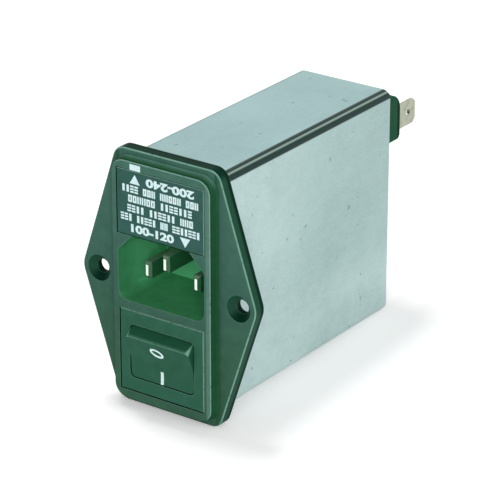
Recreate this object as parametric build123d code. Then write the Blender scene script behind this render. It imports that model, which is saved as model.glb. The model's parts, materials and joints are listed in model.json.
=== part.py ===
# Power entry module for a panel: a mains inlet, a reversible two-fuse drawer that selects the voltage
# and a two-pole rocker switch in one moulded front, with a filter in a folded metal can behind it.
#
# Frame: millimetres. X runs to the right seen from the front, Y into the panel, Z up. The origin is on
# the flange's back face, where it seats on the panel, half way between the two screw holes.
# One STEP file per piece is written to parts/.
import os
from math import cos, radians, sin, sqrt

from build123d import *

os.makedirs("parts", exist_ok=True)

# Flange and the plateau that stands proud of it
flange_half_width = 25.0
flange_half_height = 32.0
flange_end_half_width = 14.5
flange_thick = 3.2
flange_tip_r = 5.0
flange_end_r = 3.4
flange_edge_r = 0.5
plateau_half_width = 13.9
plateau_margin = 2.0
plateau_proud = 2.6
plateau_corner_r = 3.5
plateau_spread = 0.7
plateau_edge_r = 0.35
screw_spacing = 40.0
screw_hole_r = 1.75
screw_head_r = 3.3

# Metal can: a folded wrap and a rear cover
can_half_width = 13.6
can_top_margin = 0.5
can_bottom_margin = 1.1
can_length = 68.8
can_wall = 0.5
can_bend_r = 2.2
can_seat_depth = 0.6
can_gap = 0.05
seam_gap = 0.2
seam_x = 0.0
cover_thick = 0.6
cover_flange = 6.0
spigot_length = 5.0
spigot_wall = 1.0
lug_x = 7.0
lug_width = 5.0
lug_length = 2.0
lug_start = 1.6
lug_ramp = 0.5

# Mains inlet
inlet_half_width = 12.3
inlet_height = 16.5
inlet_chamfer = 4.2
inlet_corner_r = 2.5
inlet_depth = 17.9
inlet_draft = 0.2
inlet_floor = 1.9
inlet_wall = 1.4
pin_pitch = 14.0
pin_rise = 4.0
pin_drop = 5.7
pin_width = 2.0
pin_height = 4.0
pin_set_back = 4.0
earth_set_back = 1.6
pin_tip = 0.65
pin_tail_thick = 0.8
pin_tail = 8.0
pin_tail_hole_r = 0.7
tail_hole_from_end = 2.5

# Fuse drawer, with its two fuses side by side along the depth
drawer_margin = 2.05
face_half_width = 12.3
face_height = 16.1
face_thick = 2.2
face_gap = 0.22
face_bevel = 0.15
drawer_half_width = 11.4
drawer_half_height = 7.2
drawer_depth = 29.2
drawer_gap = 0.15
bay_rear_wall = 1.5
bay_floor = 1.2
fuse_length = 20.0
fuse_cap_r = 2.6
fuse_cap_length = 5.0
fuse_cap_wall = 0.2
fuse_glass_wall = 0.5
fuse_wire_r = 0.15
fuse_offset = 8.5
fuse_start = 5.6
fuse_slack = 0.15
drawer_web = 2.5
drawer_pocket_half_width = 4.8
contact_groove_half_height = 1.6
contact_groove_depth = 0.4

# Sprung contacts beside the drawer
spring_thick = 0.4
spring_height = 2.4
spring_bump = 0.43
spring_bump_half_length = 1.6
spring_drop = 4.6
spring_tail = 6.0
spring_riser = 2.0
spring_lead_in = 1.0
spring_pocket_gap = 0.05

# Selector blades in the bay's rear wall, and the bridge that the drawer carries
blade_offset = 3.0
blade_thick = 0.8
blade_height = 3.0
blade_reach = 8.0
blade_tail = 6.0
blade_tip = 0.2
blade_gap = 0.4
bridge_thick = 0.4
bridge_length = 9.0
bridge_run_on = 1.2

# Rocker switch
switch_margin = 2.45
switch_half_width = 12.0
switch_half_height = 10.3
switch_gap = 0.1
bezel_gap = 0.2
bezel_bevel = 0.2
bezel_thick = 2.2
bezel_lip = 1.6
rocker_half_width = 9.15
rocker_side_gap = 0.15
opening_half_height = 6.8
opening_corner_r = 1.3
opening_spread = 0.7
rocker_pivot_depth = 4.0
rocker_face_depth = 5.2
rocker_half_chord = 5.6
rocker_sag = 0.9
rocker_swing = 23.0
rocker_wall = 1.3
rocker_ridge_r = 0.25
rocker_corner_r = 1.2
trunnion_r = 1.2
trunnion_gap = 0.05
trunnion_length = 1.35
trunnion_ear_r = 2.4
body_half_width = 10.8
rocker_end_gap = 0.36
body_wall = 1.2
body_depth = 18.6
body_floor = 1.5
collar_depth = 4.0
collar_wall = 1.3
catch_rise = 0.5
catch_length = 2.4
catch_width = 6.0
catch_gap = 0.05
stop_half_width = 1.5
stop_gap = 0.05
stop_low = 0.5
stop_high = 1.5
pole_offset = 4.6

# Switch mechanism, one set for each pole
stem_half = 2.2
stem_reach = 2.4
plunger_r = 1.2
plunger_slack = 0.1
plunger_reach = 9.0
plunger_head = 0.5
plunger_spring_wire_r = 0.15
plunger_spring_turns = 4.5
spring_wire_sides = 6
lever_thick = 0.6
lever_half_length = 6.4
lever_width = 3.6
lever_swing = 14.0
lever_gap = 0.05
contact_r = 1.2
contact_thick = 0.7
contact_offset = 5.2
contact_gap = 0.03
fulcrum_r = 0.25
fulcrum_taper = 1.0
fulcrum_gap = 0.03
tail_width = 4.8
tail_thick = 0.8
tail_rise = 0.2
foot_drop = 0.3
switch_tail = 8.0

# Rear terminal block and its 6.3 mm tabs
block_half_width = 12.2
block_half_height = 6.05
block_centre_z = 20.95
block_proud = 6.8
block_top_r = 4.5
block_bottom_r = 1.2
block_neck = 0.3
block_inside = 4.6
tab_count = 4
tab_thick = 0.8
tab_width = 6.3
tab_drop = 1.25
tab_reach = 8.3
tab_inside = 5.0
tab_hole_r = 0.85
tab_hole_from_tip = 3.2
tab_nose = 1.0
tab_edge_inset = 1.3

# Earth tab on the rear cover
earth_tab_z = -8.0
earth_foot = 8.0
earth_reach = 9.0
earth_rivet_r = 1.6
earth_rivet_head_r = 2.7
earth_rivet_head = 0.8
earth_rivet_bevel = 0.3

# Filter inside the can
tray_wall = 0.8
tray_height = 14.0
tray_front = 31.5
tray_rear_gap = 0.5
ledge_height = 5.5
ledge_width = 1.6
board_thick = 1.6
board_gap = 0.15
choke_r = 11.5
choke_bore_r = 6.0
choke_width = 10.0
choke_x = -5.2
core_bevel = 0.6
winding_gap = 0.05
winding_inner_r = 0.02
winding_r = 0.7
winding_turns = 8
winding_span = 112.0
xcap_size = (8.0, 18.0, 15.0)
xcap_x = 7.0
ycap_size = (8.0, 4.5, 10.0)
capacitor_gap = 0.6
capacitor_corner_r = 0.5
leg_r = 0.35
leg_reach = 3.2
leg_from_end = 2.0
resistor_r = 1.1
resistor_length = 6.5
resistor_lead_r = 0.3
resistor_pitch = 10.0
resistor_lift = 0.2
resistor_bend_r = 0.8

# Insulated leads between the pieces inside
lead_r = 0.7
lead_stub = 0.8
lead_pieces = 7
wire_sides = 8

# Places worked out from the sizes above
front_y = -(flange_thick + plateau_proud)
plateau_half_height = flange_half_height - plateau_margin
can_top = plateau_half_height - can_top_margin
can_bottom = can_bottom_margin - plateau_half_height
inlet_top = plateau_half_height - drawer_margin - face_height
switch_centre_z = switch_margin + switch_half_height - plateau_half_height
rocker_r = sqrt(rocker_face_depth ** 2 + rocker_half_chord ** 2)
body_half_height = rocker_r + rocker_end_gap + body_wall
seat_y = front_y + face_thick
inlet_bottom = inlet_top - inlet_height
inlet_floor_y = front_y + inlet_depth
inlet_block_rear = inlet_floor_y + inlet_floor
inside_half_width = can_half_width - can_wall
inside_bottom = can_bottom + can_wall
face_centre_z = inlet_top + 0.5 * face_height
bay_half_width = drawer_half_width + drawer_gap
bay_half_height = drawer_half_height + drawer_gap
bay_rear = seat_y + drawer_depth + 2 * drawer_gap
block_rear = bay_rear + bay_rear_wall
pin_z = inlet_top - pin_drop - pin_rise
pivot_y = front_y + rocker_pivot_depth
half_swing = 0.5 * rocker_swing
fulcrum_y = pivot_y + plunger_reach + lever_gap + lever_thick
floor_y = front_y + body_depth - body_floor
cover_y = can_length - cover_thick
tray_rear = cover_y - cover_flange - tray_rear_gap
tab_z = block_centre_z - tab_drop
rocker_floor = rocker_face_depth - rocker_sag - rocker_wall
board_z = inside_bottom + can_gap + tray_wall + ledge_height + board_thick


def along_y(profile, y_front, y_rear):
    """Extrude a profile drawn in X and Z from y_front back to y_rear."""
    return extrude(Plane.XZ.offset(-y_rear) * profile, amount=y_rear - y_front)


def along_x(profile, x_low, x_high):
    """Extrude a profile drawn in Y and Z from x_low to x_high."""
    return extrude(Plane.YZ.offset(x_low) * profile, amount=x_high - x_low)


def along_z(profile, z_low, z_high):
    """Extrude a profile drawn in X and Y from z_low up to z_high."""
    return extrude(Plane.XY.offset(z_low) * profile, amount=z_high - z_low)


def around(middle, size):
    """The low and high value of a size about its middle."""
    return middle - 0.5 * size, middle + 0.5 * size


def block(x, y, z):
    """A box from the low and high value on each axis."""
    size = [high - low for low, high in (x, y, z)]
    middle = [0.5 * (low + high) for low, high in (x, y, z)]
    return Pos(*middle) * Box(*size)


def rod(centre, radius, y_front, y_rear):
    """A cylinder along Y at centre, a pair of X and Z."""
    return along_y(Pos(*centre) * Circle(radius), y_front, y_rear)


def outline(*points):
    """A closed face through the points, in order."""
    return make_face(Polyline(*points, close=True))


def can_section(inset):
    """The can's rounded section, drawn in X and Z, moved in from its outside by inset."""
    width = 2 * (can_half_width - inset)
    height = can_top - can_bottom - 2 * inset
    centre = 0.5 * (can_top + can_bottom)
    return Pos(0, centre) * RectangleRounded(width, height, max(can_bend_r - inset, 0.3))


def flange_outline():
    """The six-sided flange with rounded tips and ends."""
    tips = [(-flange_half_width, 0), (flange_half_width, 0)]
    ends = [(x, z) for x in (-flange_end_half_width, flange_end_half_width)
            for z in (-flange_half_height, flange_half_height)]
    shape = outline(tips[0], ends[1], ends[3], tips[1], ends[2], ends[0])
    at_tips = [v for v in shape.vertices() if abs(v.Y) < 0.1]
    shape = fillet(at_tips, flange_tip_r)
    at_ends = [v for v in shape.vertices() if abs(v.Y) > flange_half_height - 0.1]
    return fillet(at_ends, flange_end_r)


def inlet_outline(draft):
    """The inlet's opening: cut corners at the top, round ones at the bottom."""
    half = inlet_half_width - draft
    top = inlet_top - draft
    bottom = inlet_bottom + draft
    cut = inlet_chamfer
    shape = outline((-half, bottom), (-half, top - cut), (-half + cut, top),
                    (half - cut, top), (half, top - cut), (half, bottom))
    return fillet([v for v in shape.vertices() if v.Y < bottom + 0.1], inlet_corner_r)


def plateau():
    """The raised panel, with sloping sides and a soft front edge."""
    base = RectangleRounded(2 * (plateau_half_width + plateau_spread),
                            2 * (plateau_half_height + plateau_spread),
                            plateau_corner_r + plateau_spread)
    crown = RectangleRounded(2 * plateau_half_width, 2 * plateau_half_height, plateau_corner_r)
    body = loft([Plane.XZ.offset(flange_thick) * base, Plane.XZ.offset(-front_y) * crown])
    return fillet(body.faces().sort_by(Axis.Y)[0].edges(), plateau_edge_r)


def screw_hole(x):
    """One countersunk screw hole through the flange."""
    hole = rod((x, 0), screw_hole_r, -flange_thick - 1, 1)
    sink = screw_head_r - screw_hole_r
    cone = Pos(x, -flange_thick + 0.5 * sink, 0) * Rot(90, 0, 0) * Cone(screw_hole_r, screw_head_r, sink)
    return hole + cone


def front_housing():
    """The one-piece moulding: flange, plateau, inlet cup, drawer bay, switch collar and spigot."""
    plate = along_y(flange_outline(), -flange_thick, 0)
    plate = fillet(plate.faces().sort_by(Axis.Y)[0].edges(), flange_edge_r)
    body = plate + plateau()

    # What stands behind the flange, inside the can
    spigot = along_y(can_section(can_wall + can_gap), 0, spigot_length)
    spigot -= along_y(can_section(can_wall + can_gap + spigot_wall), 0, spigot_length)
    cup_bottom = inlet_bottom - inlet_wall
    inside = can_section(can_wall + can_gap)
    cup = along_y(inside, 0, inlet_block_rear)
    cup &= block((-can_half_width, can_half_width), (0, inlet_block_rear), (cup_bottom, can_top))
    bay_bottom = face_centre_z - bay_half_height - bay_floor
    bay = along_y(inside, 0, block_rear)
    bay &= block((-can_half_width, can_half_width), (0, block_rear), (bay_bottom, can_top))
    collar_half_width = body_half_width + switch_gap + collar_wall
    collar_bottom = switch_centre_z - body_half_height - switch_gap - collar_wall
    collar = block((-collar_half_width, collar_half_width), (0, collar_depth), (collar_bottom, cup_bottom))
    collar &= along_y(inside, 0, collar_depth)
    body += spigot
    body += cup
    body += bay
    body += collar

    # Groove that the can's front edge sits in
    groove = along_y(can_section(-can_gap), -can_seat_depth, 0)
    groove -= along_y(can_section(can_wall + can_gap), -can_seat_depth, 0)
    body -= groove

    # Lugs that snap into the can's windows
    for side in (-1, 1):
        low = inside_bottom + can_gap
        lug = outline((lug_start, low), (lug_start + lug_length, low),
                      (lug_start + lug_length, low - can_wall), (lug_start + lug_ramp, low - can_wall))
        body += along_x(lug, side * lug_x - 0.5 * lug_width, side * lug_x + 0.5 * lug_width)

    # Inlet recess and the slots that hold its pins
    body -= loft([Plane.XZ.offset(-front_y) * inlet_outline(0),
                  Plane.XZ.offset(-inlet_floor_y) * inlet_outline(inlet_draft)])
    for x, z in pin_places():
        body -= block(around(x, pin_width), (inlet_floor_y - 1, inlet_block_rear + 1), around(z, pin_height))

    # Drawer bay: a shallow pocket for the face, then the bay for the body
    face_top = face_centre_z + 0.5 * face_height + face_gap
    pocket_half = face_half_width + face_gap
    body -= block((-pocket_half, pocket_half), (front_y, seat_y), (inlet_top, face_top))
    body -= block((-bay_half_width, bay_half_width), (seat_y, bay_rear),
                  (face_centre_z - bay_half_height, face_centre_z + bay_half_height))
    for side in (-1, 1):
        body -= spring_pockets(side)
        for z in (face_centre_z - blade_z(), face_centre_z + blade_z()):
            body -= block(around(side * blade_offset, blade_thick), (bay_rear - 1, block_rear + 1),
                          around(z, blade_height))

    # Switch bay: a pocket for the bezel and a way through for the body
    half = switch_half_width + bezel_gap
    tall = switch_half_height + bezel_gap
    body -= block((-half, half), (front_y, front_y + bezel_thick), around(switch_centre_z, 2 * tall))
    half = body_half_width + switch_gap
    tall = body_half_height + switch_gap
    body -= block((-half, half), (front_y, collar_depth + 1), around(switch_centre_z, 2 * tall))

    for x in (-0.5 * screw_spacing, 0.5 * screw_spacing):
        body -= screw_hole(x)
    return body


def pin_places():
    """X and Z of the left, right and earth pins."""
    half = 0.5 * pin_pitch
    return [(-half, pin_z), (half, pin_z), (0, pin_z + pin_rise)]


def inlet_pin(x, z, set_back):
    """A brass pin: a chamfered blade in front, a thin tail behind the moulding."""
    tip_y = front_y + set_back
    blade = block(around(x, pin_width), (tip_y, inlet_block_rear), around(z, pin_height))
    blade = chamfer(blade.faces().sort_by(Axis.Y)[0].edges(), pin_tip)
    rear = inlet_block_rear + pin_tail
    tail = block(around(x, pin_tail_thick), (inlet_block_rear, rear), around(z, pin_height))
    hole = Pos(rear - tail_hole_from_end, z) * Circle(pin_tail_hole_r)
    return blade + tail - along_x(hole, x - pin_width, x + pin_width)


def fuse_span():
    """Where each fuse starts and ends along Y."""
    return seat_y + fuse_start, seat_y + fuse_start + fuse_length


def fuse_drawer():
    """The drawer: face plate, two fuse channels open at the sides, and a pocket above and below."""
    low = face_centre_z - 0.5 * (face_height - face_gap)
    high = face_centre_z + 0.5 * face_height
    face = block((-face_half_width, face_half_width), (front_y, seat_y), (low, high))
    face = chamfer(face.faces().sort_by(Axis.Y)[0].edges(), face_bevel)
    rear = seat_y + drawer_depth
    body = block((-drawer_half_width, drawer_half_width), (seat_y, rear),
                 (face_centre_z - drawer_half_height, face_centre_z + drawer_half_height))
    start, end = fuse_span()
    channel_r = fuse_cap_r + fuse_slack
    for side in (-1, 1):
        middle = side * fuse_offset
        outside = side * (drawer_half_width + 1)
        room = (start - fuse_slack, end + fuse_slack)
        body -= rod((middle, face_centre_z), channel_r, *room)
        body -= block(sorted((middle, outside)), room, around(face_centre_z, 2 * channel_r))
        groove = sorted((side * (drawer_half_width - contact_groove_depth), outside))
        body -= block(groove, (end, rear + 1), around(face_centre_z, 2 * contact_groove_half_height))
        # Pockets above and below the web leave room for the selector blades
        pocket = [face_centre_z + side * reach for reach in (0.5 * drawer_web, drawer_half_height + 1)]
        body -= block(around(0, 2 * drawer_pocket_half_width), (seat_y + face_thick, rear + 1),
                      sorted(pocket))
    return face + body


def fuse(side):
    """One 5 x 20 fuse: glass tube, two caps and the wire between them."""
    start, end = fuse_span()
    place = (side * fuse_offset, face_centre_z)
    glass_r = fuse_cap_r - fuse_cap_wall
    inner_start = start + fuse_cap_wall
    inner_end = end - fuse_cap_wall
    glass = rod(place, glass_r, inner_start, inner_end)
    glass -= rod(place, glass_r - fuse_glass_wall, inner_start, inner_end)
    front_cap = rod(place, fuse_cap_r, start, start + fuse_cap_length)
    front_cap -= rod(place, glass_r, inner_start, start + fuse_cap_length)
    rear_cap = rod(place, fuse_cap_r, end - fuse_cap_length, end)
    rear_cap -= rod(place, glass_r, end - fuse_cap_length, inner_end)
    wire = rod(place, fuse_wire_r, inner_start, inner_end)
    return glass, [front_cap, rear_cap], wire


def blade_z():
    """How far the selector blades' middles lie above and below the drawer's."""
    return 0.5 * drawer_web + blade_gap + 0.5 * blade_height


def spring_band(drop, y_front, y_rear):
    """The Y and Z range of a straight run of spring strip."""
    middle = face_centre_z - drop
    return (y_front, y_rear), around(middle, spring_height)


def spring_runs(which):
    """The straight runs of a side contact, as Y and Z ranges."""
    start, end = fuse_span()
    tail = block_rear + spring_tail
    if which == "rear":
        bump_y = end - 0.5 * fuse_cap_length
        return bump_y, [spring_band(0, bump_y - spring_bump_half_length - spring_lead_in, tail)]
    bump_y = start + 0.5 * fuse_cap_length
    front = bump_y - spring_bump_half_length - spring_lead_in
    riser = (front - spring_riser, front), (face_centre_z - spring_drop - 0.5 * spring_height,
                                            face_centre_z + 0.5 * spring_height)
    upper = spring_band(0, front, bump_y + spring_bump_half_length)
    return bump_y, [spring_band(spring_drop, front, tail), riser, upper]


def spring_pockets(side):
    """The shallow wall pockets and rear slots that hold the side contacts."""
    inner = bay_half_width
    outer = bay_half_width + spring_thick + spring_pocket_gap
    cut = None
    for which in ("front", "rear"):
        _, runs = spring_runs(which)
        for y, z in runs:
            x = sorted((side * inner, side * outer))
            gap = spring_pocket_gap
            piece = block(x, (y[0] - gap, y[1]), (z[0] - gap, z[1] + gap))
            cut = piece if cut is None else cut + piece
    return cut


def fuse_contact(side, which):
    """A sprung strip along the bay's wall, with a rounded bump that presses on a fuse cap."""
    bump_y, runs = spring_runs(which)
    near = bay_half_width
    far = bay_half_width + spring_thick
    strip = None
    for y, z in runs:
        piece = block(sorted((side * near, side * far)), y, z)
        strip = piece if strip is None else strip + piece
    chord = spring_bump_half_length
    crest = spring_bump
    bump = make_face([Line((side * near, bump_y - chord), (side * near, bump_y + chord)),
                      ThreePointArc((side * near, bump_y + chord), (side * (near - crest), bump_y),
                                    (side * near, bump_y - chord))])
    half = 0.5 * spring_height * 0.8
    return strip + along_z(bump, face_centre_z - half, face_centre_z + half)


def selector_blade(side, level):
    """A blade through the bay's rear wall that the drawer's bridge can join to its neighbour."""
    x = side * blade_offset
    z = face_centre_z + level * blade_z()
    reach = (bay_rear - blade_reach, block_rear + blade_tail)
    blade = block(around(x, blade_thick), reach, around(z, blade_height))
    return chamfer(blade.faces().sort_by(Axis.Y)[0].edges().filter_by(Axis.Z), blade_tip)


def selector_bridge():
    """The U-shaped strip on the drawer that joins the two upper blades."""
    low = face_centre_z + 0.5 * drawer_web
    high = low + blade_height
    inner = blade_offset + 0.5 * blade_thick
    outer = inner + bridge_thick
    front = bay_rear - blade_reach - bridge_run_on
    legs = [block(sorted((side * inner, side * outer)), (front, front + bridge_length), (low, high))
            for side in (-1, 1)]
    base = block((-outer, outer), (front - bridge_thick, front), (low, high))
    return base + legs[0] + legs[1]


def switch_body():
    """The switch's case and bezel, with bearing holes for the rocker and two stops for the levers."""
    z = switch_centre_z
    rear = front_y + body_depth
    bezel = block((-switch_half_width, switch_half_width), (front_y, front_y + bezel_thick),
                  (z - switch_half_height, z + switch_half_height))
    bezel = chamfer(bezel.faces().sort_by(Axis.Y)[0].edges(), bezel_bevel)
    case = block((-body_half_width, body_half_width), (front_y + bezel_thick, rear),
                 (z - body_half_height, z + body_half_height))
    body = bezel + case
    half = rocker_half_width + rocker_side_gap
    mouth = RectangleRounded(2 * half, 2 * opening_half_height, opening_corner_r)
    throat = RectangleRounded(2 * half, 2 * (opening_half_height + opening_spread), opening_corner_r)
    body -= loft([Plane.XZ.offset(-front_y) * Pos(0, z) * mouth,
                  Plane.XZ.offset(-front_y - bezel_lip) * Pos(0, z) * throat])
    body -= block((body_wall - body_half_width, body_half_width - body_wall), (front_y + bezel_lip, floor_y),
                  (z - body_half_height + body_wall, z + body_half_height - body_wall))
    body -= along_x(Pos(pivot_y, z) * Circle(trunnion_r + trunnion_gap), -body_half_width, body_half_width)
    for side in (-1, 1):
        # Snap catches behind the housing's collar
        catch_y = collar_depth + catch_gap
        wedge = outline((catch_y, z + side * body_half_height),
                        (catch_y, z + side * (body_half_height + catch_rise)),
                        (catch_y + catch_length, z + side * body_half_height))
        body += along_x(wedge, -0.5 * catch_width, 0.5 * catch_width)
        # Stop that the lever rests on when the switch is off
        x = side * pole_offset
        stop_y = fulcrum_y + lever_half_length * sin(radians(0.5 * lever_swing)) + stop_gap
        stop_z = z - lever_half_length * cos(radians(0.5 * lever_swing))
        body += block((x - stop_half_width, x + stop_half_width), (stop_y, floor_y),
                      (stop_z - stop_low, stop_z + stop_high))
        for level in (0, 1):
            slot_z = z + level * tail_offset()
            body -= block(around(x, tail_width), (floor_y - 1, rear + 1), around(slot_z, tail_thick))
    return body


def tail_offset():
    """How far the fixed contact's tail lies above the fulcrum."""
    return contact_offset + contact_r + 0.5 * tail_thick - tail_rise


def on_pivot(shape, angle):
    """Turn a shape drawn about the rocker's axis by angle, and place it in the switch."""
    return Pos(0, pivot_y, switch_centre_z) * Rot(angle, 0, 0) * shape


def rocker():
    """The hollow rocker with its dished face, trunnions and a stem for each pole."""
    skirt = Circle(rocker_r) & Pos(-0.5 * rocker_face_depth, 0) * Rectangle(rocker_face_depth, 2 * rocker_r)
    hollow = Circle(rocker_r - rocker_wall)
    hollow &= Pos(-0.5 * rocker_floor, 0) * Rectangle(rocker_floor, 2 * rocker_r)
    shell = along_x(skirt, -rocker_half_width, rocker_half_width)
    bends = [e for e in shell.edges().filter_by(GeomType.CIRCLE) if abs(e.center().Y) < rocker_face_depth]
    shell = fillet(bends, rocker_corner_r)
    dish_r = (rocker_half_chord ** 2 + rocker_sag ** 2) / (2 * rocker_sag)
    dish = Pos(rocker_sag - rocker_face_depth - dish_r, 0) * Circle(dish_r)
    shell -= along_x(dish, -rocker_half_width, rocker_half_width)
    face = [f for f in shell.faces() if f.center().Y < -0.9 * (rocker_face_depth - rocker_sag)]
    shell = fillet(face[0].edges(), rocker_ridge_r)
    inner = rocker_half_width - rocker_wall
    shell -= along_x(hollow, -inner, inner)
    for side in (-1, 1):
        outer = rocker_half_width + trunnion_length
        shell += along_x(Circle(trunnion_ear_r), *sorted((side * inner, side * rocker_half_width)))
        shell += along_x(Circle(trunnion_r), *sorted((side * inner, side * outer)))
        x = side * pole_offset
        shell += block((x - stem_half, x + stem_half), (-rocker_floor, stem_reach), (-stem_half, stem_half))
        shell -= rod((x, 0), plunger_r + plunger_slack, -rocker_floor, stem_reach)
    return on_pivot(shell, half_swing)


def plunger(side):
    """The round-nosed pin that slides over a contact lever."""
    place = (side * pole_offset, 0)
    shaft = rod(place, plunger_r, -plunger_head, plunger_reach - plunger_r)
    nose = Pos(side * pole_offset, plunger_reach - plunger_r, 0) * Sphere(plunger_r)
    return on_pivot(shaft + nose, half_swing)


def plunger_spring(side):
    """The coil spring between the rocker and its plunger."""
    start = plunger_spring_wire_r - rocker_floor
    length = -plunger_head - plunger_spring_wire_r - start
    mean_r = plunger_r - 2 * plunger_spring_wire_r
    path = Helix(pitch=length / plunger_spring_turns, height=length, radius=mean_r)
    section = RegularPolygon(plunger_spring_wire_r, spring_wire_sides)
    wire = sweep(Plane(path @ 0, z_dir=path % 0) * section, path=path)
    return on_pivot(Pos(side * pole_offset, start, 0) * Rot(-90, 0, 0) * wire, half_swing)


def contact_lever(side):
    """A seesaw strip, grooved where it rocks, upper end pressed back, with a contact rivet."""
    x = side * pole_offset
    strip = block(around(x, lever_width), (-lever_thick, 0),
                  (-lever_half_length, lever_half_length))
    strip -= along_x(Circle(fulcrum_r + fulcrum_gap), x - lever_width, x + lever_width)
    rivet = rod((x, contact_offset), contact_r, 0, contact_thick)
    return Pos(0, fulcrum_y, switch_centre_z) * Rot(-0.5 * lever_swing, 0, 0) * (strip + rivet)


def fixed_contact_y():
    """The plane of the fixed contact, just behind the closed lever's rivet."""
    tilt = radians(0.5 * lever_swing)
    return fulcrum_y + (contact_offset + contact_r) * sin(tilt) + contact_thick * cos(tilt) + contact_gap


def common_terminal(side):
    """The terminal that carries the lever on its rounded edge."""
    x = side * pole_offset
    z = switch_centre_z
    rear = front_y + body_depth + switch_tail
    shoulder = fulcrum_y + fulcrum_taper
    half = 0.5 * tail_thick
    plate = outline((fulcrum_y, z - fulcrum_r), (fulcrum_y, z + fulcrum_r), (shoulder, z + half),
                    (rear, z + half), (rear, z - half), (shoulder, z - half))
    plate += Pos(fulcrum_y, z) * Circle(fulcrum_r)
    terminal = along_x(plate, x - 0.5 * tail_width, x + 0.5 * tail_width)
    return terminal - solder_hole(x, rear, z)


def solder_hole(x, rear, z):
    """The hole near the end of a flat tail."""
    hole = Pos(x, rear - tail_hole_from_end) * Circle(pin_tail_hole_r)
    return along_z(hole, *around(z, 2 * tail_thick))


def fixed_terminal(side):
    """The bent terminal with the contact that the lever closes on."""
    x = side * pole_offset
    y = fixed_contact_y() + contact_thick
    z = switch_centre_z + tail_offset()
    rear = front_y + body_depth + switch_tail
    foot = block(around(x, tail_width), (y, y + tail_thick),
                 (switch_centre_z + contact_offset - contact_r - foot_drop, z + 0.5 * tail_thick))
    tail = block(around(x, tail_width), (y + tail_thick, rear), around(z, tail_thick))
    rivet = rod((x, switch_centre_z + contact_offset), contact_r, y - contact_thick, y)
    return foot + tail + rivet - solder_hole(x, rear, z)


def can_wrap():
    """The sheet folded round the housing, with its seam and two windows underneath."""
    wrap = along_y(can_section(0), -can_seat_depth, can_length)
    wrap -= along_y(can_section(can_wall), -can_seat_depth, can_length)
    bottom = (can_bottom - 1, inside_bottom + 0.1)
    wrap -= block(around(seam_x, seam_gap), (-can_seat_depth, can_length), bottom)
    for side in (-1, 1):
        x = side * lug_x
        wrap -= block((x - 0.5 * lug_width - can_gap, x + 0.5 * lug_width + can_gap),
                      (lug_start - can_gap, lug_start + lug_length + can_gap), bottom)
    return wrap


def rear_cover():
    """The pressed rear cover: a plate with a flange all round, inside the wrap's end."""
    inset = can_wall + can_gap
    cover = along_y(can_section(inset), cover_y - cover_flange, can_length)
    cover -= along_y(can_section(inset + cover_thick), cover_y - cover_flange, cover_y)
    half = block_half_width - block_neck
    tall = block_half_height - block_neck
    cover -= block((-half, half), (cover_y - 1, can_length + 1), around(block_centre_z, 2 * tall))
    cover -= rod((0, earth_tab_z), earth_rivet_r, cover_y - 1, can_length + 1)
    return cover


def tab_places():
    """X of each rear tab."""
    reach = block_half_width - tab_edge_inset
    return [-reach + 2 * reach * i / (tab_count - 1) for i in range(tab_count)]


def terminal_block():
    """The moulded block that holds the rear tabs, necked where it passes the cover."""
    z = block_centre_z
    outside = block((-block_half_width, block_half_width), (can_length, can_length + block_proud),
                    (z - block_half_height, z + block_half_height))
    rear_edges = outside.faces().sort_by(Axis.Y)[-1].edges().filter_by(Axis.X).sort_by(Axis.Z)
    outside = fillet(rear_edges[-1], block_top_r)
    rear_edges = outside.faces().sort_by(Axis.Y)[-1].edges().filter_by(Axis.X).sort_by(Axis.Z)
    outside = fillet(rear_edges[0], block_bottom_r)
    half = block_half_width - block_neck
    tall = block_half_height - block_neck
    inside = block((-half, half), (cover_y - block_inside, can_length), (z - tall, z + tall))
    body = outside + inside
    for x in tab_places():
        body -= block(around(x, tab_thick),
                      (cover_y - block_inside - 1, can_length + block_proud + 1),
                      around(tab_z, tab_width))
    return body


def quick_tab(x):
    """A 6.3 mm tab with a pointed end and a locking hole."""
    z = tab_z
    front = cover_y - block_inside - tab_inside
    tip = can_length + block_proud + tab_reach
    half = 0.5 * tab_width
    shoulder = tip - tab_nose
    shape = outline((front, z - half), (front, z + half), (shoulder, z + half), (tip, z + half - tab_nose),
                    (tip, z - half + tab_nose), (shoulder, z - half))
    shape -= Pos(tip - tab_hole_from_tip, z) * Circle(tab_hole_r)
    return along_x(shape, x - 0.5 * tab_thick, x + 0.5 * tab_thick)


def earth_tab():
    """The bent earth tab riveted to the rear cover."""
    half = 0.5 * tab_width
    low = earth_tab_z - 0.5 * earth_foot
    foot = block((-half, half), (can_length, can_length + tab_thick), (low, low + earth_foot))
    foot -= rod((0, earth_tab_z), earth_rivet_r, can_length - 1, can_length + 1)
    root = can_length + tab_thick
    tip = root + earth_reach
    blade = outline((-half, root), (half, root), (half, tip - tab_nose), (half - tab_nose, tip),
                    (-half + tab_nose, tip), (-half, tip - tab_nose))
    blade -= Pos(0, tip - tab_hole_from_tip) * Circle(tab_hole_r)
    return foot + along_z(blade, low, low + tab_thick)


def earth_rivet():
    """The rivet that joins the earth tab to the cover."""
    place = (0, earth_tab_z)
    outer = can_length + tab_thick
    rivet = rod(place, earth_rivet_r, cover_y, outer)
    rivet += rod(place, earth_rivet_head_r, cover_y - earth_rivet_head, cover_y)
    rivet += rod(place, earth_rivet_head_r, outer, outer + earth_rivet_head)
    return chamfer(rivet.faces().sort_by(Axis.Y)[-1].edges(), earth_rivet_bevel)


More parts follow.
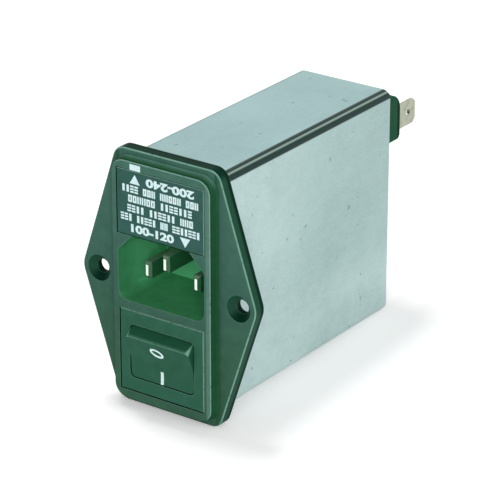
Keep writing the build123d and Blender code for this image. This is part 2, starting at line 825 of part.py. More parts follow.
def filter_tray():
    """The insulating trough under the filter, with a ledge along each side for the board."""
    inset = can_wall + can_gap
    low = inside_bottom + can_gap
    keep = block((-can_half_width, can_half_width), (tray_front, tray_rear), (low - 1, low + tray_height))
    tray = along_y(can_section(inset), tray_front, tray_rear)
    tray -= along_y(can_section(inset + tray_wall), tray_front, tray_rear)
    tray &= keep
    half = inside_half_width - can_gap - tray_wall
    for side in (-1, 1):
        x = sorted((side * half, side * (half - ledge_width)))
        tray += block(x, (tray_front, tray_rear), (low + tray_wall, low + tray_wall + ledge_height))
    return tray


def filter_board():
    """The board that carries the filter, resting on the tray's ledges."""
    half = inside_half_width - can_gap - tray_wall - board_gap
    board = block((-half, half), (tray_front + board_gap, tray_rear - board_gap),
                  (board_z - board_thick, board_z))
    for x, y in leg_places() + resistor_ends():
        board -= along_z(Pos(x, y) * Circle(leg_r), board_z - board_thick - 1, board_z + 1)
    return board


def capacitor_places():
    """The front small, the big and the rear small capacitor, each as its Y and its size."""
    y = choke_centre()[1]
    step = 0.5 * xcap_size[1] + capacitor_gap + 0.5 * ycap_size[1]
    return [(y - step, ycap_size), (y, xcap_size), (y + step, ycap_size)]


def leg_places():
    """X and Y of each capacitor leg."""
    places = []
    for y, (wide, long, _) in capacitor_places():
        if long > wide:
            places += [(xcap_x, y + side * (0.5 * long - leg_from_end)) for side in (-1, 1)]
        else:
            places += [(xcap_x + side * (0.5 * wide - leg_from_end), y) for side in (-1, 1)]
    return places


def resistor_ends():
    """X and Y of the discharge resistor's two legs, in front of the choke."""
    y = tray_front + 2 * resistor_r
    return [(choke_x + side * 0.5 * resistor_pitch, y) for side in (-1, 1)]


def choke_centre():
    """The middle of the choke's core."""
    turns_out = 2 * winding_r
    return choke_x, 0.5 * (tray_front + tray_rear), board_z + choke_r + turns_out + winding_gap


def choke_core():
    """The ring core, standing on edge."""
    x, y, z = choke_centre()
    ring = Circle(choke_r) - Circle(choke_bore_r)
    core = along_x(Pos(y, z) * ring, x - 0.5 * choke_width, x + 0.5 * choke_width)
    return chamfer(core.edges().filter_by(GeomType.CIRCLE), core_bevel)


def choke_winding(side):
    """One winding, as a band of turns around half of the core."""
    x, y, z = choke_centre()
    turns = None
    for i in range(winding_turns):
        angle = side * 90 + winding_span * (i / (winding_turns - 1) - 0.5)
        mean = 0.5 * (choke_r + choke_bore_r)
        tall = choke_r - choke_bore_r + 2 * winding_gap
        wide = choke_width + 2 * winding_gap
        ring = RectangleRounded(tall + 4 * winding_r, wide + 4 * winding_r, 2 * winding_r)
        ring -= RectangleRounded(tall, wide, winding_inner_r)
        turn = extrude(Plane.YX * ring, amount=winding_r, both=True)
        turn = Pos(x, y, z) * Rot(angle, 0, 0) * Pos(0, mean, 0) * turn
        turns = turn if turns is None else turns + turn
    return turns


def capacitor(which):
    """A box capacitor on the board with its two legs, the front, big or rear one by number."""
    y, (wide, long, tall) = capacitor_places()[which]
    box = block(around(xcap_x, wide), around(y, long),
                (board_z, board_z + tall))
    box = fillet(box.edges().filter_by(Axis.Z), capacitor_corner_r)
    for leg in leg_places()[2 * which:2 * which + 2]:
        box += along_z(Pos(*leg) * Circle(leg_r), board_z - leg_reach, board_z)
    return box


def discharge_resistor():
    """The resistor across the line, lying on the board with its ends bent down through it."""
    (low_x, y), (high_x, _) = resistor_ends()
    z = board_z + resistor_lift + resistor_r
    middle = 0.5 * (low_x + high_x)
    half = 0.5 * resistor_length
    body = along_x(Pos(y, z) * Circle(resistor_r), middle - half, middle + half)
    low = board_z - leg_reach
    bend = resistor_bend_r
    path = Polyline((low_x, y, low), (low_x, y, z - bend), (low_x + bend, y, z),
                    (high_x - bend, y, z), (high_x, y, z - bend), (high_x, y, low))
    return body + eight_sided_wire(path, resistor_lead_r)


def eight_sided_wire(path, r):
    """Plain eight-sided wire along a path of straight pieces, mitred where it bends."""
    section = Plane(path @ 0, z_dir=path % 0) * RegularPolygon(r, wire_sides)
    return sweep(section, path=path, transition=Transition.RIGHT)


def lead(points, start_way, end_way):
    """An insulated lead through the points, leaving and arriving along the given ways."""
    first = Vector(*points[0]) + lead_stub * Vector(*start_way)
    last = Vector(*points[-1]) - lead_stub * Vector(*end_way)
    run = Spline(first, *points[1:-1], last, tangents=[start_way, end_way])
    between = [run @ (i / lead_pieces) for i in range(lead_pieces + 1)]
    return eight_sided_wire(Polyline(points[0], *between, points[-1]), lead_r)


def earth_lead():
    """The lead from the earth pin's tail to the rivet on the rear cover."""
    start = inlet_block_rear + pin_tail
    end = cover_y - earth_rivet_head
    clear_x = 0.5 * (xcap_x - 0.5 * xcap_size[0] + choke_x + 0.5 * choke_width) + 2 * lead_r
    high = pin_z + pin_rise
    points = [(0, start, high), (clear_x, tray_front, high), (clear_x, tray_rear - lead_r, high),
              (0, end, earth_tab_z)]
    return lead(points, (0, 1, 0), (0, 1, 0))


def output_lead(number):
    """The lead from a selector blade's tail to an output tab: outer tabs above, inner below."""
    x = tab_places()[number]
    side = 1 if x > 0 else -1
    level = 1 if number in (0, tab_count - 1) else -1
    end = cover_y - block_inside - tab_inside
    start = (side * blade_offset, block_rear + blade_tail, face_centre_z + level * blade_z())
    return lead([start, (x, end, tab_z)], (0, 1, 0), (0, 1, 0))


def filter_lead(side):
    """The lead from a fixed terminal's tail down to the filter board."""
    x = side * pole_offset
    start = (x, front_y + body_depth + switch_tail, switch_centre_z + tail_offset())
    end = (x, tray_front + board_gap, board_z - 0.5 * board_thick)
    return lead([start, end], (0, 1, 0), (0, 1, 0))


def fuse_lead(side):
    """The lead from a line pin's tail up to the contact on its fuse's rear cap."""
    start = inlet_block_rear + pin_tail
    x = side * (bay_half_width + 0.5 * spring_thick)
    end = block_rear + spring_tail
    turn = end + 4 * lead_r
    points = [(side * 0.5 * pin_pitch, start, pin_z), (x, turn, 0.5 * (pin_z + face_centre_z)),
              (x, end, face_centre_z)]
    return lead(points, (0, 1, 0), (0, -1, 0))


def write(name, shape):
    """Write one piece as parts/NAME.step."""
    export_step(shape, f"parts/{name}.step")


SIDES = {"left": -1, "right": 1}
write("front_housing", front_housing())
for name, (x, z), set_back in zip(("left_pin", "right_pin", "earth_pin"), pin_places(),
                                  (pin_set_back, pin_set_back, earth_set_back)):
    write(name, inlet_pin(x, z, set_back))
write("fuse_drawer", fuse_drawer())
write("selector_bridge", selector_bridge())
write("switch_body", switch_body())
write("rocker", rocker())
for name, side in SIDES.items():
    glass, caps, wire = fuse(side)
    write(f"{name}_fuse_tube", glass)
    write(f"{name}_fuse_caps", Compound(children=caps))
    write(f"{name}_fuse_wire", wire)
    for which in ("front", "rear"):
        write(f"{name}_fuse_contact_{which}", fuse_contact(side, which))
    write(f"{name}_plunger", plunger(side))
    write(f"{name}_plunger_spring", plunger_spring(side))
    write(f"{name}_contact_lever", contact_lever(side))
    write(f"{name}_common_terminal", common_terminal(side))
    write(f"{name}_fixed_terminal", fixed_terminal(side))
for name, level in (("upper", 1), ("lower", -1)):
    write(f"{name}_selector_blades", Compound(children=[selector_blade(side, level) for side in (-1, 1)]))
write("can_wrap", can_wrap())
write("rear_cover", rear_cover())
write("terminal_block", terminal_block())
for number, x in enumerate(tab_places(), 1):
    write(f"output_tab_{number}", quick_tab(x))
write("earth_tab", earth_tab())
write("earth_rivet", earth_rivet())
write("filter_tray", filter_tray())
write("filter_board", filter_board())
write("choke_core", choke_core())
for name, side in (("front", -1), ("rear", 1)):
    write(f"{name}_winding", choke_winding(-side))
for which, name in enumerate(("front_y_capacitor", "x_capacitor", "rear_y_capacitor")):
    write(name, capacitor(which))
write("discharge_resistor", discharge_resistor())
write("earth_lead", earth_lead())
for number in range(tab_count):
    write(f"output_lead_{number + 1}", output_lead(number))
for name, side in SIDES.items():
    write(f"{name}_filter_lead", filter_lead(side))
    write(f"{name}_fuse_lead", fuse_lead(side))
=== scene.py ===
"""Looks of a power entry module: finishes, print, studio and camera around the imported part.

Everything is in metres, in the part's own frame: X to the right seen from the front, Y into the
panel, Z up, with the origin on the flange's back face between its two screw holes.
"""

import json
import logging
import math
from dataclasses import dataclass, field
from enum import Enum
from typing import Protocol, Sequence, Union

import bmesh
import bpy
from mathutils import Matrix, Vector
from mathutils.bvhtree import BVHTree

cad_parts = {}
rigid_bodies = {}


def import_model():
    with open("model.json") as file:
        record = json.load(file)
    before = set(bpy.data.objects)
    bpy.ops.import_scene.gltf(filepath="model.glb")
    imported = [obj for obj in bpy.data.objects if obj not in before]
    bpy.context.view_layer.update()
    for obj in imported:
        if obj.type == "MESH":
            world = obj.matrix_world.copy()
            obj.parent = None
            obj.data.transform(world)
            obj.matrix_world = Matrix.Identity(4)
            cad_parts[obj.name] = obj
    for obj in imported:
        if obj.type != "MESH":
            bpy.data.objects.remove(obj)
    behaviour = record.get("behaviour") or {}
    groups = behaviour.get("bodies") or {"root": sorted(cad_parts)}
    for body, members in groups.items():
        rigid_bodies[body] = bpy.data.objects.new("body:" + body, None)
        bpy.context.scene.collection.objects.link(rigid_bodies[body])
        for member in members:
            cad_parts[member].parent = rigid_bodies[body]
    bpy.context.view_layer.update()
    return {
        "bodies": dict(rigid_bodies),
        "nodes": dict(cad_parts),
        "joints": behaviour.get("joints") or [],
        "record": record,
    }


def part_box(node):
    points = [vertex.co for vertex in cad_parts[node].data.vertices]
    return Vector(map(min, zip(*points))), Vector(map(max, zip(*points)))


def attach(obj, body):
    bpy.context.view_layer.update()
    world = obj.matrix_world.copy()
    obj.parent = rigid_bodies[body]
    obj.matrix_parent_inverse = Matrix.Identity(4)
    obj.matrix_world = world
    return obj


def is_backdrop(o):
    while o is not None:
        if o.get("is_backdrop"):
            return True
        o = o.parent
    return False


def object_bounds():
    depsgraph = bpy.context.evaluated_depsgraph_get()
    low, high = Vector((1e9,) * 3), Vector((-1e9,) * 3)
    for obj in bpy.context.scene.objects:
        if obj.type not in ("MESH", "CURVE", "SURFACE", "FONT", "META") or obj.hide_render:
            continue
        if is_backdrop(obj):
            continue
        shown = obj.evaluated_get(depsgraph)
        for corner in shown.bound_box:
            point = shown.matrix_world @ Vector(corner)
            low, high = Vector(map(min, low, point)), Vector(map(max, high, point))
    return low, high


MM = 0.001
log = logging.getLogger("power_entry_module")

Colour = tuple[int, int, int]
Point = tuple[float, float]
Loop = list[Point]
Range = tuple[float, float]
Triple = tuple[float, float, float]
Feed = Union[bpy.types.NodeSocket, float, Sequence[float]]
Paint = Union[bpy.types.NodeSocket, Colour]

WHITE: Colour = (255, 255, 255)


def linear(colour: Colour) -> tuple[float, float, float, float]:
    """Turn a display colour into the linear one that shaders take.

    Args:
        colour: Red, green and blue from 0 to 255.

    Returns:
        Linear red, green, blue and an alpha of 1.
    """
    parts = [c / 255 for c in colour]
    bright = [p / 12.92 if p <= 0.04045 else ((p + 0.055) / 1.055) ** 2.4 for p in parts]
    return (bright[0], bright[1], bright[2], 1.0)


class Axis(Enum):
    """Which part of a vector a recipe reads."""

    X = 0
    Y = 1
    Z = 2


@dataclass(frozen=True)
class Patches:
    """Cloudy noise that shows as patches: nothing up to start, and its share from full on."""

    size_mm: float
    start: float
    full: float
    share: float = 1.0
    detail: float = 3.0
    squeeze: Triple = (1.0, 1.0, 1.0)


@dataclass(frozen=True)
class Grain:
    """Cloudy noise that shows as relief, of a depth and of a strength from 0 to 1."""

    size_mm: float
    depth_mm: float
    strength: float
    detail: float = 2.0
    squeeze: Triple = (1.0, 1.0, 1.0)


DRAWN_LINES = Grain(0.12, 0.004, 0.3, squeeze=(1.0, 0.08, 1.0))


class Tree:
    """A node tree, with short calls for its nodes and links."""

    def __init__(self, tree: bpy.types.NodeTree) -> None:
        """Take over a tree and empty it."""
        self.tree = tree
        tree.nodes.clear()

    def node(self, kind: str, **settings: object) -> bpy.types.Node:
        """Add a node and set its properties.

        Args:
            kind: The node's type name.
            **settings: Properties of the node.

        Returns:
            The new node.
        """
        made = self.tree.nodes.new(kind)
        for key, value in settings.items():
            setattr(made, key, value)
        return made

    def feed(self, socket: bpy.types.NodeSocket, value: Feed) -> None:
        """Link a socket to another node's output, or set its constant.

        Args:
            socket: The input to feed.
            value: An output socket, a number or a colour.
        """
        if isinstance(value, bpy.types.NodeSocket):
            self.tree.links.new(value, socket)
        else:
            socket.default_value = value

    def math(self, operation: str, *values: Feed) -> bpy.types.NodeSocket:
        """Join numbers by a math node.

        Args:
            operation: The math node's operation.
            *values: One to three numbers.

        Returns:
            The result.
        """
        made = self.node("ShaderNodeMath", operation=operation)
        for socket, value in zip(made.inputs, values):
            self.feed(socket, value)
        return made.outputs[0]

    def stretch(self, value: Feed, low: float, high: float, start: float = 0.0) -> bpy.types.NodeSocket:
        """Map a number smoothly from a range to start to 1.

        Args:
            value: The number.
            low: Where the result is start.
            high: Where the result is 1, which may lie below low.
            start: The result at low.

        Returns:
            The mapped number.
        """
        made = self.node("ShaderNodeMapRange", interpolation_type="SMOOTHSTEP")
        self.feed(made.inputs["Value"], value)
        for name, limit in (("From Min", low), ("From Max", high), ("To Min", start)):
            made.inputs[name].default_value = limit
        return made.outputs["Result"]


class Recipe(Tree):
    """One material's node tree, with short calls for what the finishes share."""

    EDGE_TURNED: Range = (0.995, 0.86)
    EDGE_OPEN: Range = (0.72, 0.92)

    def __init__(self, name: str) -> None:
        """Start a material with a principled shader on its output.

        Args:
            name: The material's name.
        """
        self.material = bpy.data.materials.new(name)
        self.material.use_nodes = True
        super().__init__(self.material.node_tree)
        self.shader = self.node("ShaderNodeBsdfPrincipled")
        output = self.node("ShaderNodeOutputMaterial")
        self.feed(output.inputs["Surface"], self.shader.outputs["BSDF"])
        self.place = self.node("ShaderNodeTexCoord")

    def set(self, **constants: float) -> None:
        """Set constants on the shader, with underscores for the spaces in a socket's name."""
        for key, value in constants.items():
            self.shader.inputs[key.replace("_", " ")].default_value = value

    def part(self, source: str, axis: Axis) -> bpy.types.NodeSocket:
        """Read one part of the piece's own coordinates.

        Args:
            source: "Object" for the place, "Normal" for the surface's direction.
            axis: The part that is wanted.

        Returns:
            That part as a number.
        """
        split = self.node("ShaderNodeSeparateXYZ")
        self.feed(split.inputs[0], self.place.outputs[source])
        return split.outputs[axis.value]

    def product(self, *factors: Feed) -> bpy.types.NodeSocket:
        """Multiply the shares of several conditions.

        Args:
            *factors: Two or more numbers.

        Returns:
            Their product.
        """
        total = factors[0]
        for factor in factors[1:]:
            total = self.math("MULTIPLY", total, factor)
        return total

    def between(self, value: Feed, low: float, high: float, soft: float) -> bpy.types.NodeSocket:
        """Give 1 where a number lies from low to high and 0 elsewhere, with ends that fade over soft."""
        start = self.stretch(value, low - soft, low + soft)
        return self.product(start, self.stretch(value, high + soft, high - soft))

    def span(self, length: Feed, low_mm: float, high_mm: float) -> bpy.types.NodeSocket:
        """Map a length in metres smoothly from a range in millimetres to 0 to 1."""
        return self.stretch(length, low_mm * MM, high_mm * MM)

    def along(self, axis: Axis, low_mm: float, high_mm: float) -> bpy.types.NodeSocket:
        """Map the place along an axis smoothly from a range to 0 to 1."""
        return self.span(self.part("Object", axis), low_mm, high_mm)

    def within(self, axis: Axis, low_mm: float, high_mm: float, soft_mm: float) -> bpy.types.NodeSocket:
        """Give 1 where the place along an axis lies in a range, and 0 elsewhere."""
        return self.between(self.part("Object", axis), low_mm * MM, high_mm * MM, soft_mm * MM)

    def facing(self, axis: Axis, low: float, high: float) -> bpy.types.NodeSocket:
        """Map how far the surface faces along an axis smoothly from a range to 0 to 1."""
        return self.stretch(self.part("Normal", axis), low, high)

    def noise(
        self, size_mm: float, detail: float = 3.0, squeeze: Triple = (1.0, 1.0, 1.0)
    ) -> bpy.types.NodeSocket:
        """Cloudy noise fixed to the piece.

        Args:
            size_mm: The size of a cloud.
            detail: How many finer layers it has.
            squeeze: How much finer it is along each axis.

        Returns:
            The noise, from 0 to 1.
        """
        mapping = self.node("ShaderNodeMapping")
        self.feed(mapping.inputs["Vector"], self.place.outputs["Object"])
        mapping.inputs["Scale"].default_value = squeeze
        made = self.node("ShaderNodeTexNoise")
        self.feed(made.inputs["Vector"], mapping.outputs[0])
        made.inputs["Scale"].default_value = 1 / (size_mm * MM)
        made.inputs["Detail"].default_value = detail
        return made.outputs["Fac"]

    def patches(self, look: Patches) -> bpy.types.NodeSocket:
        """Give 0 between patches and their share on them."""
        shown = self.stretch(self.noise(look.size_mm, look.detail, look.squeeze), look.start, look.full)
        return self.math("MULTIPLY", shown, look.share)

    def ramp(self, value: Feed, stops: Sequence[tuple[float, Colour]]) -> bpy.types.NodeSocket:
        """Turn a number into a colour.

        Args:
            value: The number, from 0 to 1.
            stops: Places and their display colours.

        Returns:
            The colour.
        """
        made = self.node("ShaderNodeValToRGB")
        self.feed(made.inputs[0], value)
        elements = made.color_ramp.elements
        while len(elements) < len(stops):
            elements.new(1.0)
        for element, (place, colour) in zip(elements, stops):
            element.position = place
            element.color = linear(colour)
        return made.outputs["Color"]

    def mix(self, share: Feed, first: Paint, second: Paint, blend: str = "MIX") -> bpy.types.NodeSocket:
        """Mix two colours.

        Args:
            share: How much of the second shows.
            first: The colour at 0, a socket or a display colour.
            second: The colour at 1.
            blend: The mix node's blend type.

        Returns:
            The mixed colour.
        """
        made = self.node("ShaderNodeMix", data_type="RGBA", blend_type=blend)
        self.feed(made.inputs[0], share)
        for number, colour in ((6, first), (7, second)):
            self.feed(made.inputs[number], linear(colour) if isinstance(colour, tuple) else colour)
        return made.outputs[2]

    def openness(self, reach_mm: float) -> bpy.types.NodeSocket:
        """How open the surface is to what lies within reach.

        Args:
            reach_mm: How far it looks for neighbours.

        Returns:
            0 in a closed corner, 1 in the open.
        """
        made = self.node("ShaderNodeAmbientOcclusion", samples=8)
        made.inputs["Distance"].default_value = reach_mm * MM
        return made.outputs["AO"]

    def edge(self, width_mm: float) -> bpy.types.NodeSocket:
        """Where the surface turns over an outside edge.

        Args:
            width_mm: How far the edge reaches; the mouldings paint their highlight there.

        Returns:
            1 on the edge, 0 away from it.
        """
        rounded = self.node("ShaderNodeBevel", samples=6)
        rounded.inputs["Radius"].default_value = width_mm * MM
        plain = self.node("ShaderNodeNewGeometry")
        dot = self.node("ShaderNodeVectorMath", operation="DOT_PRODUCT")
        self.feed(dot.inputs[0], rounded.outputs["Normal"])
        self.feed(dot.inputs[1], plain.outputs["Normal"])
        turned = self.stretch(dot.outputs["Value"], *self.EDGE_TURNED)
        return self.math("MULTIPLY", turned, self.stretch(self.openness(2 * width_mm), *self.EDGE_OPEN))

    def bump(self, height: Feed, depth_mm: float, strength: float) -> None:
        """Raise the surface by a height.

        Args:
            height: The height, from 0 to 1.
            depth_mm: What a height of 1 is.
            strength: How much of it shows.
        """
        made = self.node("ShaderNodeBump")
        made.inputs["Distance"].default_value = depth_mm * MM
        made.inputs["Strength"].default_value = strength
        self.feed(made.inputs["Height"], height)
        self.feed(self.shader.inputs["Normal"], made.outputs["Normal"])

    def grain(self, look: Grain) -> None:
        """Raise the surface by a grain."""
        self.bump(self.noise(look.size_mm, look.detail, look.squeeze), look.depth_mm, look.strength)

    def paint(self, colour: Feed) -> None:
        """Give the shader its colour."""
        self.feed(self.shader.inputs["Base Color"], colour)


class Finish(Protocol):
    """Anything that can make a material under a name."""

    name: str

    def material(self) -> bpy.types.Material:
        """Make the material."""


@dataclass(frozen=True)
class Moulding:
    """Satin moulded plastic, finely grained: fronts paler than the deeper coloured walls by a painted
    sheen, painted shade on walls that face up and in grooves, and painted highlights on rounded edges.

    Each pair of numbers says where an effect starts and where it is full. Fronts lie before
    front_ends_mm, and lean_x and lean_z weigh which way a rounded edge has to face to be lit.
    """

    name: str
    front: Colour
    wall: Colour
    # top: the walls' colour where they face up, darkened as painted shade.
    top: Colour
    # edge: the painted highlight on outside and rounded edges.
    edge: Colour = (122, 166, 150)
    # groove: painted shade in grooves and closed corners.
    groove_shade: Colour = (10, 34, 26)
    cloud: Colour = (236, 238, 236)
    front_ends_mm: float = -2.4
    soft_mm: float = 0.1
    facing_front: Range = (0.86, 0.96)
    facing_up: Range = (0.25, 0.75)
    rounding: Range = (0.3, 0.5)
    flattening: Range = (0.975, 0.88)
    lit_lean: Range = (-0.3, 0.2)
    lean_x: float = 0.66
    lean_z: float = 0.75
    edge_mm: float = 0.22
    edge_share: float = 0.7
    round_share: float = 0.85
    groove_mm: float = 0.7
    groove_open: Range = (0.62, 0.22)
    cloud_mm: float = 2.6
    cloudy: Range = (0.3, 0.7)
    drift: Patches = Patches(9.0, 0.35, 0.65, share=0.12, detail=2.0)
    # Patches that break up the painted highlights on the edges.
    highlight_patches: Patches = Patches(1.1, 0.1, 0.5)
    grain: Grain = Grain(0.14, 0.012, 0.55)
    roughness: float = 0.46
    shine: float = 0.025

    def material(self) -> bpy.types.Material:
        """Make the plastic.

        Returns:
            The material.
        """
        r = Recipe(self.name)
        outward = r.math("MULTIPLY", r.part("Normal", Axis.Y), -1.0)
        shallow = r.along(Axis.Y, self.front_ends_mm + self.soft_mm, self.front_ends_mm - self.soft_mm)
        flat = r.product(r.stretch(outward, *self.facing_front), shallow)
        # Painted sheen: faces that look to the front take the paler front colour, other faces the walls'
        # deeper colour.
        colour = r.mix(flat, self.walls(r), self.fronts(r))
        stops = list(zip(self.cloudy, (self.cloud, WHITE)))
        clouds = r.ramp(r.noise(self.cloud_mm, detail=4.0), stops)
        colour = r.mix(1.0, colour, clouds, "MULTIPLY")
        # Painted shade: darker where neighbours close the surface in.
        closed = r.stretch(r.openness(self.groove_mm), *self.groove_open)
        colour = r.mix(closed, colour, self.groove_shade)
        # Painted highlight on outside edges, broken up in patches.
        patchy_highlight = r.patches(self.highlight_patches)
        colour = r.mix(r.product(r.edge(self.edge_mm), patchy_highlight, self.edge_share), colour, self.edge)
        # Painted highlight on rounded front edges, strongest where they face up and to the right.
        turning = r.product(r.stretch(outward, *self.rounding), r.stretch(outward, *self.flattening))
        rounds = r.product(turning, shallow, self.lit_rounds(r), patchy_highlight, self.round_share)
        r.paint(r.mix(rounds, colour, self.edge))
        r.set(Roughness=self.roughness, Specular_IOR_Level=self.shine)
        r.grain(self.grain)
        return r.material

    def fronts(self, r: Recipe) -> bpy.types.NodeSocket:
        """The front faces' colour, which carries their painted sheen, with a faint drift across them."""
        return r.mix(r.patches(self.drift), self.front, self.wall)

    def walls(self, r: Recipe) -> bpy.types.NodeSocket:
        """The walls' colour, darker where they face up: painted shade."""
        return r.mix(r.facing(Axis.Z, *self.facing_up), self.wall, self.top)

    def lit_rounds(self, r: Recipe) -> bpy.types.NodeSocket:
        """How much painted highlight a rounded edge takes: full towards the top and the right, none below.

        Args:
            r: The recipe that is being made.

        Returns:
            The share of the edge's highlight colour.
        """
        across = r.math("MULTIPLY", r.part("Normal", Axis.X), self.lean_x)
        lean = r.math("MULTIPLY_ADD", r.part("Normal", Axis.Z), self.lean_z, across)
        return r.stretch(lean, *self.lit_lean)


@dataclass(frozen=True)
class FrontMoulding(Moulding):
    """The front's plastic: a painted highlight on the plateau's rim, painted shade on the slope below it,
    and painted light in the recess.

    The slope runs from crown_y_mm to foot_y_mm, and the painted shade at its foot lies on the flange
    beside foot_x_mm. Places across hold on both sides, apart from right_x_mm, which leaves the rim's left
    without its painted highlight.
    """

    # rim: painted highlight on the plateau's right-hand rim.
    rim: Colour = (98, 136, 124)
    # crown, slope, foot and upper_slope: painted shade across the plateau's slope, darkest where it leaves
    # the plateau's face; foot also shades the flange beside the slope.
    crown: Colour = (16, 52, 34)
    slope: Colour = (32, 80, 50)
    foot: Colour = (46, 90, 66)
    upper_slope: Colour = (54, 92, 76)
    # rear_edge_shade: painted shade along the flange walls' rear edge, where they meet the can.
    rear_edge_shade: Colour = (4, 38, 26)
    # mouth, deep, floor_mouth and floor_deep: painted light in the recess, brighter with depth.
    mouth: Colour = (60, 138, 90)
    deep: Colour = (112, 216, 156)
    floor_mouth: Colour = (72, 152, 102)
    floor_deep: Colour = (86, 178, 122)
    # high and low: painted light, the fronts lighter towards the top and darker towards the bottom.
    high: Colour = (75, 117, 103)
    low: Colour = (62, 102, 81)
    crown_y_mm: float = -5.7
    foot_y_mm: float = -3.3
    foot_x_mm: float = 13.9
    foot_fade_mm: float = 1.9
    foot_inner: float = 0.4
    foot_bare_x_mm: Range = (13.4, 13.6)
    flange_soft_mm: float = 0.3
    painted_light_z_mm: Range = (-26.0, 28.0)
    rim_x_mm: Range = (12.6, 12.9)
    right_x_mm: Range = (-1.0, 1.0)
    rim_share: float = 0.8
    slope_up: Range = (0.3, 0.8)
    rear_y_mm: Range = (-1.5, -0.7)
    edge_on: Range = (0.8, 0.5)
    recess_half_mm: float = 12.5
    recess_low_mm: float = -5.1
    recess_high_mm: float = 12.4
    recess_end_mm: float = 9.0
    recess_soft_mm: float = 0.05
    hole_x_mm: float = 20.0
    hole_reach_mm: float = 3.5

    def fronts(self, r: Recipe) -> bpy.types.NodeSocket:
        """The front faces' colour: painted light that rises from low to high, the plateau's rim with its
        painted highlight, and painted shade beside its foot.

        Args:
            r: The recipe that is being made.

        Returns:
            The colour.
        """
        aside = r.math("ABSOLUTE", r.part("Object", Axis.X))
        inner_mm = self.foot_x_mm - self.foot_inner * self.foot_fade_mm
        shade = r.span(aside, self.foot_x_mm + self.foot_fade_mm, inner_mm)
        flange = r.along(Axis.Y, self.foot_y_mm - self.flange_soft_mm, self.foot_y_mm)
        beside = r.product(shade, r.span(aside, *self.foot_bare_x_mm), flange)
        # Painted light: the fronts grow lighter from low to high.
        tall = r.along(Axis.Z, *self.painted_light_z_mm)
        colour = r.ramp(tall, [(0.0, self.low), (0.55, self.front), (1.0, self.high)])
        # Painted shade on the flange beside the plateau's foot.
        colour = r.mix(beside, colour, self.foot)
        # Painted highlight on the right-hand part of the plateau's rim.
        plateau = r.math("SUBTRACT", 1.0, flange)
        right = r.along(Axis.X, *self.right_x_mm)
        rim = r.product(r.span(aside, *self.rim_x_mm), plateau, right, self.rim_share)
        return r.mix(rim, colour, self.rim)

    def walls(self, r: Recipe) -> bpy.types.NodeSocket:
        """The walls' colour: the flange's with painted shade along its rear edge, the plateau's slope with
        painted shade, and the recess with painted light.

        Args:
            r: The recipe that is being made.

        Returns:
            The colour.
        """
        # Painted shade across the slope, darkest where it leaves the plateau's face, on a lighter ramp
        # where the slope faces up.
        span = r.along(Axis.Y, self.crown_y_mm, self.foot_y_mm)
        slope = r.ramp(span, [(0.0, self.crown), (0.12, self.slope), (0.7, self.slope), (1.0, self.foot)])
        upper_stops = [(0.0, self.crown), (0.3, self.slope), (0.65, self.upper_slope), (1.0, self.high)]
        up = r.facing(Axis.Z, *self.slope_up)
        slope = r.mix(up, slope, r.ramp(span, upper_stops))
        # Painted shade along the flange walls' rear edge.
        rear = r.product(r.along(Axis.Y, *self.rear_y_mm), r.facing(Axis.Y, *self.edge_on))
        flange = r.mix(rear, super().walls(r), self.rear_edge_shade)
        # Painted light in the recess, brighter with depth to outweigh its shade.
        behind = r.along(Axis.Y, self.foot_y_mm - self.soft_mm, self.foot_y_mm + self.soft_mm)
        across = r.within(Axis.X, -self.recess_half_mm, self.recess_half_mm, self.recess_soft_mm)
        tall = r.within(Axis.Z, self.recess_low_mm, self.recess_high_mm, self.recess_soft_mm)
        into = r.along(Axis.Y, self.crown_y_mm, self.recess_end_mm)
        floor = r.mix(into, self.floor_mouth, self.floor_deep)
        inside = r.mix(up, r.mix(into, self.mouth, self.deep), floor)
        return r.mix(r.product(across, tall), r.mix(behind, slope, flange), inside)

    def lit_rounds(self, r: Recipe) -> bpy.types.NodeSocket:
        """How much painted highlight a rounded edge takes, leaving the screw holes' countersinks plain.

        Args:
            r: The recipe that is being made.

        Returns:
            The share of the edge's colour.
        """
        aside = r.math("SUBTRACT", r.math("ABSOLUTE", r.part("Object", Axis.X)), self.hole_x_mm * MM)
        up = r.part("Object", Axis.Z)
        reach = r.math("SQRT", r.math("ADD", r.product(aside, aside), r.product(up, up)))
        clear = r.span(reach, self.hole_reach_mm, self.hole_reach_mm + self.soft_mm)
        return r.product(clear, super().lit_rounds(r))


@dataclass(frozen=True)
class RockerMoulding(Moulding):
    """The rocker's plastic, with a painted highlight on the ridge between its top and its dished face."""

    ridge: Range = (0.2, 0.62)
    ridge_soft: float = 0.06

    def lit_rounds(self, r: Recipe) -> bpy.types.NodeSocket:
        """Find the ridge by how far it faces up."""
        # Painted highlight on the ridge.
        return r.between(r.part("Normal", Axis.Z), *self.ridge, self.ridge_soft)


@dataclass(frozen=True)
class BlockMoulding(Moulding):
    """The terminal block's plastic, with painted shade round its rear edge."""

    # rear: painted shade round the block's rear edge.
    rear: Colour = (10, 46, 26)
    rear_y_mm: Range = (74.2, 74.7)

    def walls(self, r: Recipe) -> bpy.types.NodeSocket:
        """The walls' colour, with painted shade at the rear."""
        return r.mix(r.along(Axis.Y, *self.rear_y_mm), super().walls(r), self.rear)


